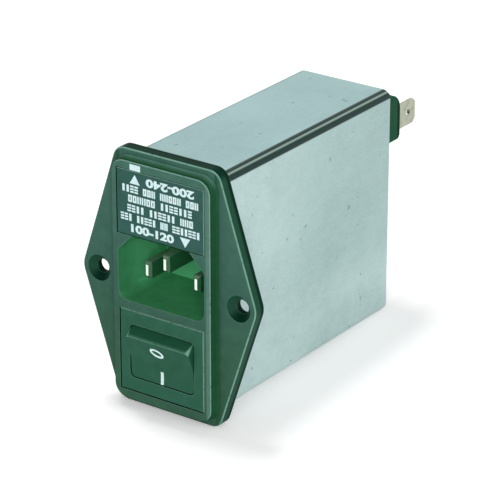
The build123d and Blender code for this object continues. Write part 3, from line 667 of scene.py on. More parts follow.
@dataclass(frozen=True)
class TinnedSheet:
    """Tinned sheet steel: cloudy, lightly scuffed and specked, with painted reflections along its bends
    and painted shade on its top, towards its sides' upper rear and in its joints.

    The clouds are a broad, a blotchy and a fine noise, mixed by their shares. Bends on the left
    show left_share of the painted reflection of those on the right.
    """

    name: str
    light: Colour
    dark: Colour
    speck: Colour
    # top_shade_tint: painted shade on the faces that lie flat on top.
    top_shade_tint: Colour = (213, 226, 228)
    # rear_shade_tint: painted shade, darkening the sides towards their upper rear.
    rear_shade_tint: Colour = (227, 233, 233)
    # dark_reflection_and_shade and bend_reflected_light: the painted reflection along the bends;
    # dark_reflection_and_shade is also the painted shade in the joints.
    dark_reflection_and_shade: Colour = (14, 46, 40)
    bend_reflected_light: Colour = (136, 158, 148)
    tint_y_mm: Range = (2.0, 42.0)
    tint_z_mm: Range = (-20.0, -5.0)
    broad_mm: float = 24.0
    blotch_mm: float = 2.2
    blotch_squeeze: Triple = (1.0, 0.6, 1.0)
    fine_mm: float = 0.5
    broad_share: float = 0.46
    blotch_share: float = 0.22
    fine_share: float = 0.32
    cloudy: Range = (0.36, 0.6)
    specks: Patches = Patches(2.0, 0.735, 0.78, share=0.75, detail=1.0)
    scuffs: Patches = Patches(1.0, 0.64, 0.72, detail=2.0, squeeze=(1.0, 0.1, 2.2))
    scuff_share: float = 0.45
    scuff_height: float = -0.2
    joint_mm: float = 0.5
    joint_open: Range = (0.5, 0.15)
    lying_flat: Range = (0.9, 0.99)
    bend_starts: Range = (0.03, 0.10)
    bend_ends: Range = (0.9995, 0.985)
    bend_right: Range = (-0.02, 0.02)
    bend_up: Range = (-0.05, 0.05)
    left_share: float = 0.25
    metallic: float = 0.45
    shine: float = 0.4
    roughness: float = 0.44
    rough_spread: float = 0.18
    relief_mm: float = 0.02
    relief_strength: float = 0.25

    def material(self) -> bpy.types.Material:
        """Make the sheet.

        Returns:
            The material.
        """
        r = Recipe(self.name)
        blotch = r.noise(self.blotch_mm, detail=4.0, squeeze=self.blotch_squeeze)
        cloud = r.math("MULTIPLY", r.noise(self.fine_mm, detail=2.0), self.fine_share)
        cloud = r.math("MULTIPLY_ADD", blotch, self.blotch_share, cloud)
        cloud = r.math("MULTIPLY_ADD", r.noise(self.broad_mm), self.broad_share, cloud)
        colour = r.ramp(cloud, list(zip(self.cloudy, (self.dark, self.light))))
        colour = r.mix(r.patches(self.specks), colour, self.speck)
        scuffs = r.patches(self.scuffs)
        colour = r.mix(r.math("MULTIPLY", scuffs, self.scuff_share), colour, self.light)
        # Painted shade: the faces that lie flat on top are darkened.
        up = r.facing(Axis.Z, *self.lying_flat)
        colour = r.mix(up, colour, self.top_shade_tint, "MULTIPLY")
        # Painted shade: the sides darken towards their upper rear.
        rear = r.product(r.along(Axis.Y, *self.tint_y_mm), r.along(Axis.Z, *self.tint_z_mm))
        colour = r.mix(r.product(rear, r.math("SUBTRACT", 1.0, up)), colour, self.rear_shade_tint, "MULTIPLY")
        # Painted reflection along the upper bends: dark, light and dark again.
        colour = r.mix(self.bend_share(r), colour, self.bend_colour(r))
        # Painted shade: darker where the sheet is closed in at its joints.
        r.paint(r.mix(r.stretch(r.openness(self.joint_mm), *self.joint_open), colour, self.dark_reflection_and_shade))
        r.set(Metallic=self.metallic, Specular_IOR_Level=self.shine)
        smoothest = self.roughness - 0.5 * self.rough_spread
        rough = r.math("MULTIPLY_ADD", blotch, self.rough_spread, smoothest)
        r.feed(r.shader.inputs["Roughness"], rough)
        height = r.math("MULTIPLY_ADD", scuffs, self.scuff_height, blotch)
        r.bump(height, self.relief_mm, self.relief_strength)
        return r.material

    def turn(self, r: Recipe) -> bpy.types.NodeSocket:
        """How far a long bend has turned from the sheet's top or underside towards its sides."""
        return r.math("ABSOLUTE", r.part("Normal", Axis.X))

    def bend_share(self, r: Recipe) -> bpy.types.NodeSocket:
        """Where the sheet's upper bends are, from 0 on its flats to 1.

        Args:
            r: The recipe that is being made.

        Returns:
            The share of the bend's painted reflection.
        """
        turned = self.turn(r)
        along = r.product(r.stretch(turned, *self.bend_starts), r.stretch(turned, *self.bend_ends))
        plain_left = r.math("MAXIMUM", r.facing(Axis.X, *self.bend_right), self.left_share)
        return r.product(along, r.facing(Axis.Z, *self.bend_up), plain_left)

    def bend_colour(self, r: Recipe) -> bpy.types.NodeSocket:
        """The painted reflection along a bend: dark, light and dark again."""
        stops = [(0.0, self.dark), (0.14, self.dark_reflection_and_shade), (0.46, self.dark_reflection_and_shade),
                 (0.56, self.bend_reflected_light), (0.63, self.bend_reflected_light),
                 (0.74, self.dark_reflection_and_shade), (0.985, self.dark_reflection_and_shade), (1.0, self.dark)]
        return r.ramp(self.turn(r), stops)


@dataclass(frozen=True)
class PlatedMetal:
    """Plated or bare strip and wire: stained, darker in its joints, with fine drawing lines."""

    name: str
    colour: Colour
    tarnish: Colour
    roughness: float = 0.26
    metallic: float = 1.0
    stain: Patches = Patches(1.6, 0.45, 0.75, share=0.5)
    joint_mm: float = 0.35
    joint_open: Range = (0.5, 0.12)
    lines: Grain = DRAWN_LINES

    def material(self) -> bpy.types.Material:
        """Make the metal.

        Returns:
            The material.
        """
        r = Recipe(self.name)
        colour = r.mix(r.patches(self.stain), self.colour, self.tarnish)
        closed = r.stretch(r.openness(self.joint_mm), *self.joint_open)
        r.paint(r.mix(closed, colour, self.tarnish))
        r.set(Metallic=self.metallic, Roughness=self.roughness)
        r.grain(self.lines)
        return r.material


@dataclass(frozen=True)
class PinMetal:
    """Polished pins with pale tips, a painted glint on their tops and sides painted in the recess's colour
    as a painted reflection.
    """

    name: str
    tip: Colour
    tarnish: Colour
    # side: the recess's green, a painted reflection on the pins' sides.
    side: Colour
    facing_front: Range = (-0.9, -0.97)
    facing_up: Range = (0.4, 0.65)
    top_glint_share: float = 0.15
    stain: Patches = Patches(1.6, 0.45, 0.75, share=0.3)
    metal_from: float = 0.1
    roughness: float = 0.26
    lines: Grain = DRAWN_LINES

    def material(self) -> bpy.types.Material:
        """Make the metal.

        Returns:
            The material.
        """
        r = Recipe(self.name)
        # Painted glint on the tops, and a painted reflection of the recess on the sides.
        top = r.math("MULTIPLY", r.facing(Axis.Z, *self.facing_up), self.top_glint_share)
        bright = r.math("MAXIMUM", r.facing(Axis.Y, *self.facing_front), top)
        r.paint(r.mix(bright, self.side, r.mix(r.patches(self.stain), self.tip, self.tarnish)))
        r.feed(r.shader.inputs["Metallic"], r.stretch(bright, self.metal_from, 1.0))
        r.set(Roughness=self.roughness)
        r.grain(self.lines)
        return r.material


@dataclass(frozen=True)
class PlainMoulding:
    """Matte plastic, resin or laminate with a faint mottle."""

    name: str
    colour: Colour
    mottle: Colour
    mottle_mm: float = 0.8
    mottled: Range = (0.35, 0.7)
    roughness: float = 0.5
    shine: float = 0.3
    depth_mm: float = 0.01
    strength: float = 0.4

    def material(self) -> bpy.types.Material:
        """Make the plastic.

        Returns:
            The material.
        """
        r = Recipe(self.name)
        mottle = r.noise(self.mottle_mm, detail=4.0)
        r.paint(r.mix(r.stretch(mottle, *self.mottled), self.colour, self.mottle))
        r.set(Roughness=self.roughness, Specular_IOR_Level=self.shine)
        r.bump(mottle, self.depth_mm, self.strength)
        return r.material


@dataclass(frozen=True)
class ClearTube:
    """Clear glass with a faint waviness."""

    name: str
    colour: Colour
    wave_mm: float = 3.0
    wavy: Range = (0.3, 0.8)
    refraction: float = 1.5
    roughness: float = 0.03
    depth_mm: float = 0.01
    strength: float = 0.1

    def material(self) -> bpy.types.Material:
        """Make the glass.

        Returns:
            The material.
        """
        r = Recipe(self.name)
        wave = r.noise(self.wave_mm, detail=1.0)
        r.paint(r.mix(r.stretch(wave, *self.wavy), self.colour, WHITE))
        r.set(Transmission_Weight=1.0, Roughness=self.roughness, IOR=self.refraction)
        r.bump(wave, self.depth_mm, self.strength)
        return r.material


@dataclass(frozen=True)
class Ink:
    """Pad-printed ink, a little thin in places."""

    name: str
    colour: Colour
    thin: Colour
    thinning: Patches = Patches(0.35, 0.55, 0.85)
    roughness: float = 0.5
    shine: float = 0.2
    grain: Grain = Grain(0.1, 0.004, 0.3)

    def material(self) -> bpy.types.Material:
        """Make the ink.

        Returns:
            The material.
        """
        r = Recipe(self.name)
        r.paint(r.mix(r.patches(self.thinning), self.colour, self.thin))
        r.set(Roughness=self.roughness, Specular_IOR_Level=self.shine)
        r.grain(self.grain)
        return r.material


class Slot(Enum):
    """The record's material slots."""

    HOUSING = "housing_plastic"
    DRAWER = "drawer_plastic"
    ROCKER = "rocker_plastic"
    PLUNGER = "plunger_plastic"
    BLOCK = "block_plastic"
    PIN = "pin_brass"
    TAB = "tab_brass"
    CONTACT = "contact_copper"
    SPRING = "spring_steel"
    CAN = "can_steel"
    RIVET = "rivet_metal"
    GLASS = "fuse_glass"
    CAP = "fuse_caps"
    WIRE = "fuse_wire"
    TRAY = "tray_plastic"
    BOARD = "board"
    FERRITE = "ferrite"
    WINDING = "winding_copper"
    CAPACITOR = "capacitor_case"
    LEAD = "lead_insulation"
    RESISTOR = "resistor_coat"


FINISHES: dict[Slot, Finish] = {
    # In each moulding, front carries the painted sheen of the fronts and top the painted shade of walls
    # that face up; the pins' side is a painted reflection.
    Slot.HOUSING: FrontMoulding("housing", front=(66, 106, 93), wall=(36, 78, 60), top=(6, 46, 34)),
    Slot.DRAWER: Moulding("drawer", front=(60, 100, 93), wall=(34, 84, 60), top=(34, 84, 60),
                          front_ends_mm=-4.0),
    Slot.ROCKER: RockerMoulding("rocker", front=(51, 100, 79), wall=(34, 84, 60), top=(32, 82, 58),
                                front_ends_mm=0.0, facing_front=(0.74, 0.84), edge_share=0.9),
    Slot.BLOCK: BlockMoulding("block", front=(34, 82, 60), wall=(32, 80, 58), top=(18, 54, 38),
                              edge_share=0.25),
    Slot.PLUNGER: PlainMoulding("acetal", (226, 226, 216), (208, 210, 200)),
    Slot.PIN: PinMetal("pins", tip=(236, 248, 238), tarnish=(170, 185, 160), side=(36, 92, 57)),
    Slot.TAB: PlatedMetal("tabs", (172, 176, 158), (112, 112, 94), roughness=0.36),
    Slot.CONTACT: PlatedMetal("contacts", (214, 172, 120), (160, 118, 76)),
    Slot.SPRING: PlatedMetal("spring_wire", (176, 178, 180), (120, 122, 124)),
    Slot.CAN: TinnedSheet("can", light=(188, 212, 210), dark=(166, 191, 189), speck=(124, 148, 146)),
    Slot.RIVET: PlatedMetal("rivet", (200, 206, 208), (150, 156, 158), roughness=0.35),
    Slot.GLASS: ClearTube("fuse_glass", (232, 244, 240)),
    Slot.CAP: PlatedMetal("fuse_caps", (216, 216, 208), (170, 168, 156), roughness=0.2),
    Slot.WIRE: PlatedMetal("fuse_wire", (190, 190, 188), (140, 140, 138)),
    Slot.TRAY: PlainMoulding("tray", (214, 214, 202), (196, 198, 186), 1.6),
    Slot.BOARD: PlainMoulding("board", (92, 124, 76), (74, 104, 62), 0.5, roughness=0.38),
    Slot.FERRITE: PlainMoulding("ferrite", (46, 47, 50), (62, 62, 64), 0.3, roughness=0.6, depth_mm=0.03),
    Slot.WINDING: PlatedMetal("winding", (196, 108, 58), (150, 76, 40), roughness=0.3),
    Slot.CAPACITOR: PlainMoulding("capacitors", (208, 168, 58), (196, 152, 48), 1.2, roughness=0.34),
    Slot.LEAD: PlainMoulding("leads", (66, 68, 72), (54, 56, 60), 0.6, roughness=0.45),
    Slot.RESISTOR: PlainMoulding("resistor", (186, 160, 118), (168, 142, 100), 0.4, roughness=0.4),
}
BEZEL = Moulding("bezel", front=(55, 105, 85), wall=(34, 80, 58), top=(34, 80, 58), front_ends_mm=-4.6)
WHITE_INK = Ink("white_ink", (222, 248, 250), (176, 208, 208))


class FinishCard:
    """Makes each finish's material once, and knows what each node wears."""

    def __init__(self, frame: dict) -> None:
        """Read which slot each node has.

        Args:
            frame: The loaded frame.
        """
        self.nodes = frame["nodes"]
        self.slots = {part["node"]: Slot(part["material_slot"]) for part in frame["record"]["subparts"]}
        self.made: dict[str, bpy.types.Material] = {}
        self.bare = set(self.nodes)

    def dress(self, piece: bpy.types.Object, finish: Finish) -> None:
        """Give a piece a finish.

        Args:
            piece: The piece.
            finish: What it wears.
        """
        if finish.name not in self.made:
            self.made[finish.name] = finish.material()
        piece.data.materials.clear()
        piece.data.materials.append(self.made[finish.name])

    def dress_node(self, name: str, finish: Finish | None = None) -> None:
        """Give a node of the part a finish.

        Args:
            name: The node.
            finish: What it wears, or None for its slot's finish.
        """
        self.dress(self.nodes[name], finish or FINISHES[self.slots[name]])
        self.bare.discard(name)


@dataclass(frozen=True)
class Surface:
    """A flat face that print lies on, with its own right, up and outward directions."""

    origin: Vector
    right: Vector
    up: Vector

    def matrix(self) -> Matrix:
        """Lead from the face's own coordinates to the frame's.

        Returns:
            The matrix that does so.
        """
        out = self.right.cross(self.up)
        turn = Matrix((self.right, self.up, out)).transposed().to_4x4()
        return Matrix.Translation(self.origin) @ turn


def rectangle(x: float, z: float, width: float, height: float) -> Loop:
    """A rectangle's corners.

    Args:
        x: Its middle across.
        z: Its middle up.
        width: Its width.
        height: Its height.

    Returns:
        The corners in order.
    """
    a = 0.5 * width
    b = 0.5 * height
    return [(x - a, z - b), (x + a, z - b), (x + a, z + b), (x - a, z + b)]


def oval(x: float, z: float, across: float, tall: float, lean_deg: float, count: int = 48) -> Loop:
    """Points round an oval.

    Args:
        x: Its middle across.
        z: Its middle up.
        across: Half its width.
        tall: Half its height.
        lean_deg: How far it is turned.
        count: How many points it has.

    Returns:
        The points in order.
    """
    lean = math.radians(lean_deg)
    points = []
    for i in range(count):
        angle = 2 * math.pi * i / count
        u = across * math.cos(angle)
        v = tall * math.sin(angle)
        turned = (u * math.cos(lean) - v * math.sin(lean), u * math.sin(lean) + v * math.cos(lean))
        points.append((x + turned[0], z + turned[1]))
    return points


@dataclass(frozen=True)
class Digits:
    """A row of digits: its text, its box's middle and size in millimetres, and its turn."""

    text: str
    x: float
    z: float
    width: float
    height: float
    turn_deg: float = 0.0


@dataclass
class PrintLayer:
    """Ink on a flat face: filled loops, rings and rows of digits, each a thin closed solid."""

    surface: Surface
    thick: float = 0.03 * MM
    sink: float = 0.01 * MM
    weld: float = 0.0001 * MM
    bold: float = 0.045
    slice_mm: float = 0.0
    fills: list[Loop] = field(default_factory=list)
    rings: list[tuple[Loop, Loop]] = field(default_factory=list)
    numbers: list[Digits] = field(default_factory=list)

    def digits(self, row: Digits) -> bpy.types.Mesh:
        """Make one row of digits as a mesh in the face's coordinates.

        Args:
            row: What they say and where they lie.

        Returns:
            The mesh.
        """
        curve = bpy.data.curves.new("digits", "FONT")
        curve.body = row.text
        curve.extrude = 0.5
        curve.offset = self.bold
        holder = bpy.data.objects.new("digits", curve)
        mesh = bpy.data.meshes.new_from_object(holder)
        bpy.data.objects.remove(holder)
        low = Vector(map(min, zip(*(v.co for v in mesh.vertices))))
        high = Vector(map(max, zip(*(v.co for v in mesh.vertices))))
        middle = 0.5 * (low + high)
        size = high - low
        deep = self.thick + self.sink
        scale = Matrix.Diagonal((row.width * MM / size.x, row.height * MM / size.y, deep / size.z, 1))
        turn = Matrix.Rotation(math.radians(row.turn_deg), 4, "Z")
        lift = Matrix.Translation((row.x * MM, row.z * MM, 0.5 * (self.thick - self.sink)))
        mesh.transform(lift @ turn @ scale @ Matrix.Translation(-middle))
        return mesh

    def cut_slices(self, bm: bmesh.types.BMesh) -> None:
        """Cut the ink across into slices, so that it can follow a face that curves upwards.

        Args:
            bm: The ink's mesh, in the face's coordinates.
        """
        step = self.slice_mm * MM
        low = min(v.co.y for v in bm.verts)
        high = max(v.co.y for v in bm.verts)
        for i in range(1, math.ceil((high - low) / step)):
            geom = bm.verts[:] + bm.edges[:] + bm.faces[:]
            cut = (0, low + i * step, 0)
            bmesh.ops.bisect_plane(bm, geom=geom, plane_co=cut, plane_no=(0, 1, 0))

    def make(self, name: str) -> bpy.types.Object:
        """Build the layer as one piece.

        Args:
            name: The piece's name.

        Returns:
            The piece.
        """
        bm = bmesh.new()
        for loop in self.fills:
            bm.faces.new([bm.verts.new((x * MM, z * MM, -self.sink)) for x, z in loop])
        for outer, inner in self.rings:
            far = [bm.verts.new((x * MM, z * MM, -self.sink)) for x, z in outer]
            near = [bm.verts.new((x * MM, z * MM, -self.sink)) for x, z in inner]
            for i in range(len(far)):
                j = (i + 1) % len(far)
                bm.faces.new((far[i], far[j], near[j], near[i]))
        raised = bmesh.ops.extrude_face_region(bm, geom=bm.faces[:])
        tops = [v for v in raised["geom"] if isinstance(v, bmesh.types.BMVert)]
        bmesh.ops.translate(bm, verts=tops, vec=(0, 0, self.thick + self.sink))
        for row in self.numbers:
            mesh = self.digits(row)
            bm.from_mesh(mesh)
            bpy.data.meshes.remove(mesh)
        if self.slice_mm:
            self.cut_slices(bm)
        bmesh.ops.remove_doubles(bm, verts=bm.verts[:], dist=self.weld)
        bmesh.ops.recalc_face_normals(bm, faces=bm.faces[:])
        bm.transform(self.surface.matrix())
        made = bpy.data.meshes.new(name)
        bm.to_mesh(made)
        bm.free()
        piece = bpy.data.objects.new(name, made)
        bpy.context.scene.collection.objects.link(piece)
        return piece


@dataclass
class FrontPanel:
    """The moulded front and the switch's bezel, with a white index mark above the drawer."""

    card: FinishCard
    mark_x_mm: float = -6.95
    mark_z_mm: float = 28.85
    mark_width_mm: float = 3.0
    mark_height_mm: float = 1.45

    def dress(self) -> None:
        """Dress the moulding and the bezel."""
        self.card.dress_node("front_housing")
        self.card.dress_node("switch_body", BEZEL)

    def build(self) -> None:
        """Print the index mark on the plateau."""
        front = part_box("fuse_drawer")[0].y
        face = Surface(Vector((0, front, 0)), Vector((1, 0, 0)), Vector((0, 0, 1)))
        layer = PrintLayer(face)
        mark = rectangle(self.mark_x_mm, self.mark_z_mm, self.mark_width_mm, self.mark_height_mm)
        layer.fills.append(mark)
        piece = layer.make("index_mark")
        self.card.dress(piece, WHITE_INK)
        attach(piece, "housing")
        log.info("front panel: moulding, bezel and index mark")


class GlyphForm(Enum):
    """The plain block shapes that stand for small print."""

    BLOCK = "block"
    POSTS = "posts"
    BARS = "bars"
    FRAME = "frame"


@dataclass
class DrawerPrint:
    """The drawer's print: two arrows, two plain number ranges and rows of small blocks between."""

    card: FinishCard
    rows_z_mm: tuple[float, ...] = (3.55, 1.2, -1.2, -3.5)
    rows_half_mm: tuple[float, ...] = (10.9, 9.1, 9.4, 11.3)
    words: tuple[tuple[int, ...], ...] = ((4, 3, 5, 3), (6, 7), (4, 6, 3), (3, 5, 2, 7))
    glyph_height_mm: float = 1.75
    glyph_share: float = 0.84
    stroke_mm: float = 0.42
    block_strokes: float = 1.6
    arrow_x_mm: float = 7.05
    arrow_z_mm: float = 6.05
    arrow_half_mm: float = 1.45
    arrow_rise_mm: float = 1.15
    numbers: tuple[Digits, ...] = (
        Digits("200-240", x=2.9, z=6.05, width=13.6, height=2.05, turn_deg=180.0),
        Digits("100-120", x=-2.2, z=-6.05, width=12.2, height=2.05),
    )

    def face(self) -> Surface:
        """Find the drawer's front face.

        Returns:
            The face, with its middle as the origin.
        """
        low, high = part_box("fuse_drawer")
        middle = Vector((0, low.y, 0.5 * (low.z + high.z)))
        return Surface(middle, Vector((1, 0, 0)), Vector((0, 0, 1)))

    def glyph(
        self, form: GlyphForm, x: float, z: float, width: float
    ) -> tuple[list[Loop], list[tuple[Loop, Loop]]]:
        """One block of small print.

        Args:
            form: Which block.
            x: Its middle across.
            z: Its middle up.
            width: Its width.

        Returns:
            Its filled loops and its rings.
        """
        tall = self.glyph_height_mm
        line = self.stroke_mm
        outer = rectangle(x, z, width, tall)
        if form is GlyphForm.FRAME:
            return [], [(outer, rectangle(x, z, width - 2 * line, tall - 2 * line))]
        if form is GlyphForm.POSTS:
            side = 0.5 * (width - line)
            return [rectangle(x - side, z, line, tall), rectangle(x + side, z, line, tall)], []
        if form is GlyphForm.BARS:
            step = 0.5 * (tall - line)
            return [rectangle(x, z + k * step, width, line) for k in (-1, 0, 1)], []
        return [rectangle(x, z, self.block_strokes * line, tall)], []

    def add_rows(self, layer: PrintLayer) -> None:
        """Add the rows of small blocks, in forms that follow a fixed pattern along each word.

        Args:
            layer: The layer that takes them.
        """
        forms = list(GlyphForm)
        for row, (z, half, words) in enumerate(zip(self.rows_z_mm, self.rows_half_mm, self.words)):
            places = sum(words) + len(words) - 1
            pitch = 2 * half / places
            place = 0
            for word in words:
                for letter in range(word):
                    form = forms[(3 * letter + 5 * row + word + letter * letter) % len(forms)]
                    x = -half + pitch * (place + 0.5)
                    fills, rings = self.glyph(form, x, z, self.glyph_share * pitch)
                    layer.fills.extend(fills)
                    layer.rings.extend(rings)
                    place += 1
                place += 1

    def arrow(self, x: float, z: float, way: int) -> Loop:
        """A triangle that points up or down.

        Args:
            x: Its middle across.
            z: Its middle up.
            way: 1 for up, -1 for down.

        Returns:
            Its corners.
        """
        half = way * self.arrow_half_mm
        rise = way * self.arrow_rise_mm
        return [(x - half, z - rise), (x + half, z - rise), (x, z + rise)]

    def build(self) -> None:
        """Print the face and dress the drawer."""
        layer = PrintLayer(self.face())
        layer.fills.append(self.arrow(-self.arrow_x_mm, self.arrow_z_mm, 1))
        layer.fills.append(self.arrow(self.arrow_x_mm, -self.arrow_z_mm, -1))
        layer.numbers.extend(self.numbers)
        self.add_rows(layer)
        piece = layer.make("drawer_print")
        self.card.dress(piece, WHITE_INK)
        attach(piece, "drawer")
        self.card.dress_node("fuse_drawer")
        log.info("drawer: face print with %d blocks", len(layer.fills) + len(layer.rings))


@dataclass
class RockerMarks:
    """The rocker's off and on marks, laid on its dished face, which leans as the switch is set."""

    card: FinishCard
    joints: Sequence[dict]
    face_depth_mm: float = 5.2
    ring_x_mm: float = -0.75
    ring_z_mm: float = 2.7
    ring_across_mm: float = 1.95
    ring_tall_mm: float = 1.2
    ring_lean_deg: float = -14.0
    ring_line_mm: float = 0.64
    bar_z_mm: float = -4.1
    bar_width_mm: float = 0.85
    bar_height_mm: float = 3.4
    slice_mm: float = 0.3
    cast_mm: float = 4.0

    def face(self) -> Surface:
        """The flat across the rocker's ends, found from its joint.

        Returns:
            The flat, with its origin in front of the pivot.
        """
        pivot = next(j for j in self.joints if j["name"] == "rocker_pivot")
        lean = math.radians(0.5 * pivot["range_deg"][1])
        up = Vector((0, -math.sin(lean), math.cos(lean)))
        out = Vector((0, -math.cos(lean), -math.sin(lean)))
        return Surface(Vector(pivot["pos_m"]) + self.face_depth_mm * MM * out, Vector((1, 0, 0)), up)

    def drape(self, piece: bpy.types.Object) -> None:
        """Lay the marks on the dished face, keeping their thickness.

        Args:
            piece: The marks, made on the flat across the dish.
        """
        face = self.face()
        out = face.right.cross(face.up)
        mesh = self.card.nodes["rocker"].data
        tree = BVHTree.FromPolygons([v.co for v in mesh.vertices], [p.vertices for p in mesh.polygons])
        for vertex in piece.data.vertices:
            height = (vertex.co - face.origin).dot(out)
            hit = tree.ray_cast(vertex.co + self.cast_mm * MM * out, -out)[0]
            vertex.co = hit + height * out

    def build(self) -> None:
        """Print the ring and the bar, and dress the rocker."""
        layer = PrintLayer(self.face(), slice_mm=self.slice_mm)
        line = self.ring_line_mm
        sizes = (self.ring_across_mm, self.ring_tall_mm)
        outer = oval(self.ring_x_mm, self.ring_z_mm, sizes[0], sizes[1], self.ring_lean_deg)
        inner = oval(self.ring_x_mm, self.ring_z_mm, sizes[0] - line, sizes[1] - line, self.ring_lean_deg)
        layer.rings.append((outer, inner))
        layer.fills.append(rectangle(0, self.bar_z_mm, self.bar_width_mm, self.bar_height_mm))
        piece = layer.make("rocker_marks")
        self.drape(piece)
        self.card.dress(piece, WHITE_INK)
        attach(piece, "rocker")
        self.card.dress_node("rocker")
        log.info("rocker: off ring and on bar")


@dataclass
class FilterCan:
    """The folded can, its cover and what stands on the cover."""

    card: FinishCard
    nodes: tuple[str, ...] = ("can_wrap", "rear_cover", "terminal_block", "earth_tab", "earth_rivet")
    tab_count: int = 4

    def dress(self) -> None:
        """Dress the can, the terminal block and the tabs."""
        for name in self.nodes:
            self.card.dress_node(name)
        for number in range(1, self.tab_count + 1):
            self.card.dress_node(f"output_tab_{number}")
        log.info("can: wrap, cover, block and %d tabs", self.tab_count)


@dataclass
class InnerWorks:
    """Pins, fuses, contacts, switch works and filter: all that the others leave bare."""

    card: FinishCard

    def dress(self) -> None:
        """Dress each node that is still bare by its slot."""
        names = sorted(self.card.bare)
        for name in names:
            self.card.dress_node(name)
        log.info("inner works: %d nodes", len(names))


@dataclass(frozen=True)
class Lamp:
    """A soft round lamp, placed from the part's middle; gloss and metal show it only if it is mirrored."""

    name: str
    place: tuple[float, float, float]
    width: float
    power: float
    mirrored: bool = False


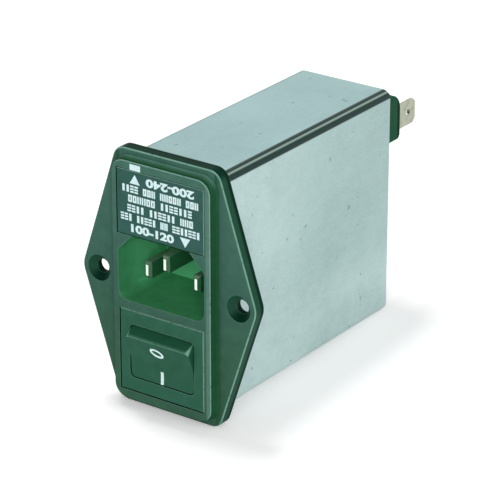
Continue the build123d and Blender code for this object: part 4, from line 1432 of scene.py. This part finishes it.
@dataclass
class Studio:
    """A pale floor that carries the part, an even white surround and three soft lamps."""

    floor_half: float = 4.0
    floor_colour: Colour = (240, 240, 240)
    floor_lift: float = 0.3
    fade_from: float = 0.15
    fade_to: float = 0.9
    ambient: float = 0.36
    lamps: tuple[Lamp, ...] = (
        Lamp("key", (-0.3, 0.07, 1.1), 0.26, 6.0, mirrored=True),
        Lamp("front_fill", (0.62, -0.9, 0.42), 0.7, 5.9),
        Lamp("side_fill", (1.05, 0.10, 0.35), 0.6, 2.8),
    )

    def seen(self, t: Tree) -> bpy.types.NodeSocket:
        """Find which rays show the background as it is.

        Args:
            t: The tree to work in.

        Returns:
            1 for camera, glossy and transmission rays, else 0.
        """
        path = t.node("ShaderNodeLightPath")
        total = path.outputs["Is Camera Ray"]
        for name in ("Is Glossy Ray", "Is Transmission Ray"):
            total = t.math("MAXIMUM", total, path.outputs[name])
        return total

    def build_world(self) -> None:
        """Make the surround: white where it shows, dimmer as light."""
        world = bpy.data.worlds.new("surround")
        world.use_nodes = True
        t = Tree(world.node_tree)
        output = t.node("ShaderNodeOutputWorld")
        mix = t.node("ShaderNodeMixShader")
        t.feed(mix.inputs[0], self.seen(t))
        for socket, strength in zip(mix.inputs[1:], (self.ambient, 1.0)):
            background = t.node("ShaderNodeBackground")
            t.feed(background.inputs["Color"], linear(WHITE))
            t.feed(background.inputs["Strength"], strength)
            t.feed(socket, background.outputs[0])
        t.feed(output.inputs["Surface"], mix.outputs[0])
        bpy.context.scene.world = world

    def floor_material(self) -> bpy.types.Material:
        """Make the floor: matte and pale, lifted to white where nothing shades it.

        Returns:
            The material.
        """
        material = bpy.data.materials.new("floor")
        material.use_nodes = True
        t = Tree(material.node_tree)
        output = t.node("ShaderNodeOutputMaterial")
        matte = t.node("ShaderNodeBsdfDiffuse")
        t.feed(matte.inputs["Color"], linear(self.floor_colour))
        lift = t.node("ShaderNodeEmission")
        t.feed(lift.inputs["Strength"], self.fade(t))
        none = t.node("ShaderNodeEmission")
        t.feed(none.inputs["Strength"], 0.0)
        choose = t.node("ShaderNodeMixShader")
        for socket, value in zip(choose.inputs, (self.seen(t), none.outputs[0], lift.outputs[0])):
            t.feed(socket, value)
        add = t.node("ShaderNodeAddShader")
        t.feed(add.inputs[0], matte.outputs[0])
        t.feed(add.inputs[1], choose.outputs[0])
        t.feed(output.inputs["Surface"], add.outputs[0])
        return material

    def fade(self, t: Tree) -> bpy.types.NodeSocket:
        """Lift the floor to white with its distance from the part, so that no horizon shows.

        Args:
            t: The tree to work in.

        Returns:
            The lift's strength.
        """
        place = t.node("ShaderNodeTexCoord")
        reach = t.node("ShaderNodeVectorMath", operation="LENGTH")
        t.feed(reach.inputs[0], place.outputs["Object"])
        return t.stretch(reach.outputs["Value"], self.fade_from, self.fade_to, self.floor_lift)

    def build_floor(self) -> None:
        """Lay the floor under the flange's rear edge and the can's rear edge, which carry the part."""
        flange_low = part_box("front_housing")[0].z
        can_low, can_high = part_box("can_wrap")
        slope = math.atan2(can_low.z - flange_low, can_high.y)
        half = self.floor_half
        mesh = bpy.data.meshes.new("floor")
        corners = [(-half, -half, 0), (half, -half, 0), (half, half, 0), (-half, half, 0)]
        mesh.from_pydata(corners, [], [(0, 1, 2, 3)])
        mesh.materials.append(self.floor_material())
        floor = bpy.data.objects.new("floor", mesh)
        floor.matrix_world = Matrix.Translation((0, 0, flange_low)) @ Matrix.Rotation(slope, 4, "X")
        bpy.context.scene.collection.objects.link(floor)
        floor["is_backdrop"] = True

    def build_lamps(self) -> None:
        """Hang the soft lamps, each aimed at the part's middle."""
        low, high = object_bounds()
        middle = 0.5 * (low + high)
        for lamp in self.lamps:
            light = bpy.data.lights.new(lamp.name, "AREA")
            light.shape = "DISK"
            light.size = lamp.width
            light.energy = lamp.power
            holder = bpy.data.objects.new(lamp.name, light)
            holder.location = middle + Vector(lamp.place)
            holder.rotation_mode = "QUATERNION"
            holder.rotation_quaternion = (-Vector(lamp.place)).to_track_quat("-Z", "Y")
            holder.visible_glossy = lamp.mirrored
            bpy.context.scene.collection.objects.link(holder)

    def build(self) -> None:
        """Make the surround, the floor and the lamps."""
        self.build_world()
        self.build_floor()
        self.build_lamps()
        bpy.context.scene.view_settings.view_transform = "Standard"
        log.info("studio: floor, surround and %d lamps", len(self.lamps))


@dataclass(frozen=True)
class Viewpoint:
    """The photograph's viewpoint, as a camera that needs no shift."""

    azimuth_deg: float = 35.449
    elevation_deg: float = 23.454
    roll_deg: float = 0.022
    distance_mm: float = 643.47
    origin_pixel: Point = (176.13, 283.42)
    focal_px: float = 2793.2
    image_px: float = 500.0
    sensor_mm: float = 36.0
    clip_start: float = 0.01
    clip_end: float = 50.0

    def build(self) -> None:
        """Place the camera so that the part's origin falls on its pixel."""
        az = math.radians(self.azimuth_deg)
        el = math.radians(self.elevation_deg)
        back = Vector((math.sin(az) * math.cos(el), -math.cos(az) * math.cos(el), math.sin(el)))
        level = (-back).cross(Vector((0, 0, 1))).normalized()
        turn = Matrix.Rotation(math.radians(self.roll_deg), 3, back)
        right = turn @ level
        up = back.cross(right)
        half = 0.5 * self.image_px
        per_px = self.distance_mm * MM / self.focal_px
        across = (self.origin_pixel[0] - half) * per_px
        above = (half - self.origin_pixel[1]) * per_px
        place = back * self.distance_mm * MM - right * across - up * above
        camera = bpy.data.objects.new("camera", bpy.data.cameras.new("camera"))
        camera.data.sensor_width = self.sensor_mm
        camera.data.lens = self.focal_px / self.image_px * self.sensor_mm
        camera.data.clip_start = self.clip_start
        camera.data.clip_end = self.clip_end
        facing = Matrix((right, up, back)).transposed().to_4x4()
        camera.matrix_world = Matrix.Translation(place) @ facing
        bpy.context.scene.collection.objects.link(camera)
        bpy.context.scene.camera = camera
        log.info("camera: %.1f mm lens", camera.data.lens)


def main() -> None:
    """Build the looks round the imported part, piece by piece."""
    logging.basicConfig(level=logging.INFO, format="%(name)s: %(message)s")
    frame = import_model()
    card = FinishCard(frame)
    Viewpoint().build()
    panel = FrontPanel(card)
    panel.dress()
    panel.build()
    DrawerPrint(card).build()
    RockerMarks(card, frame["joints"]).build()
    FilterCan(card).dress()
    InnerWorks(card).dress()
    Studio().build()


if __name__ == "__main__":
    main()
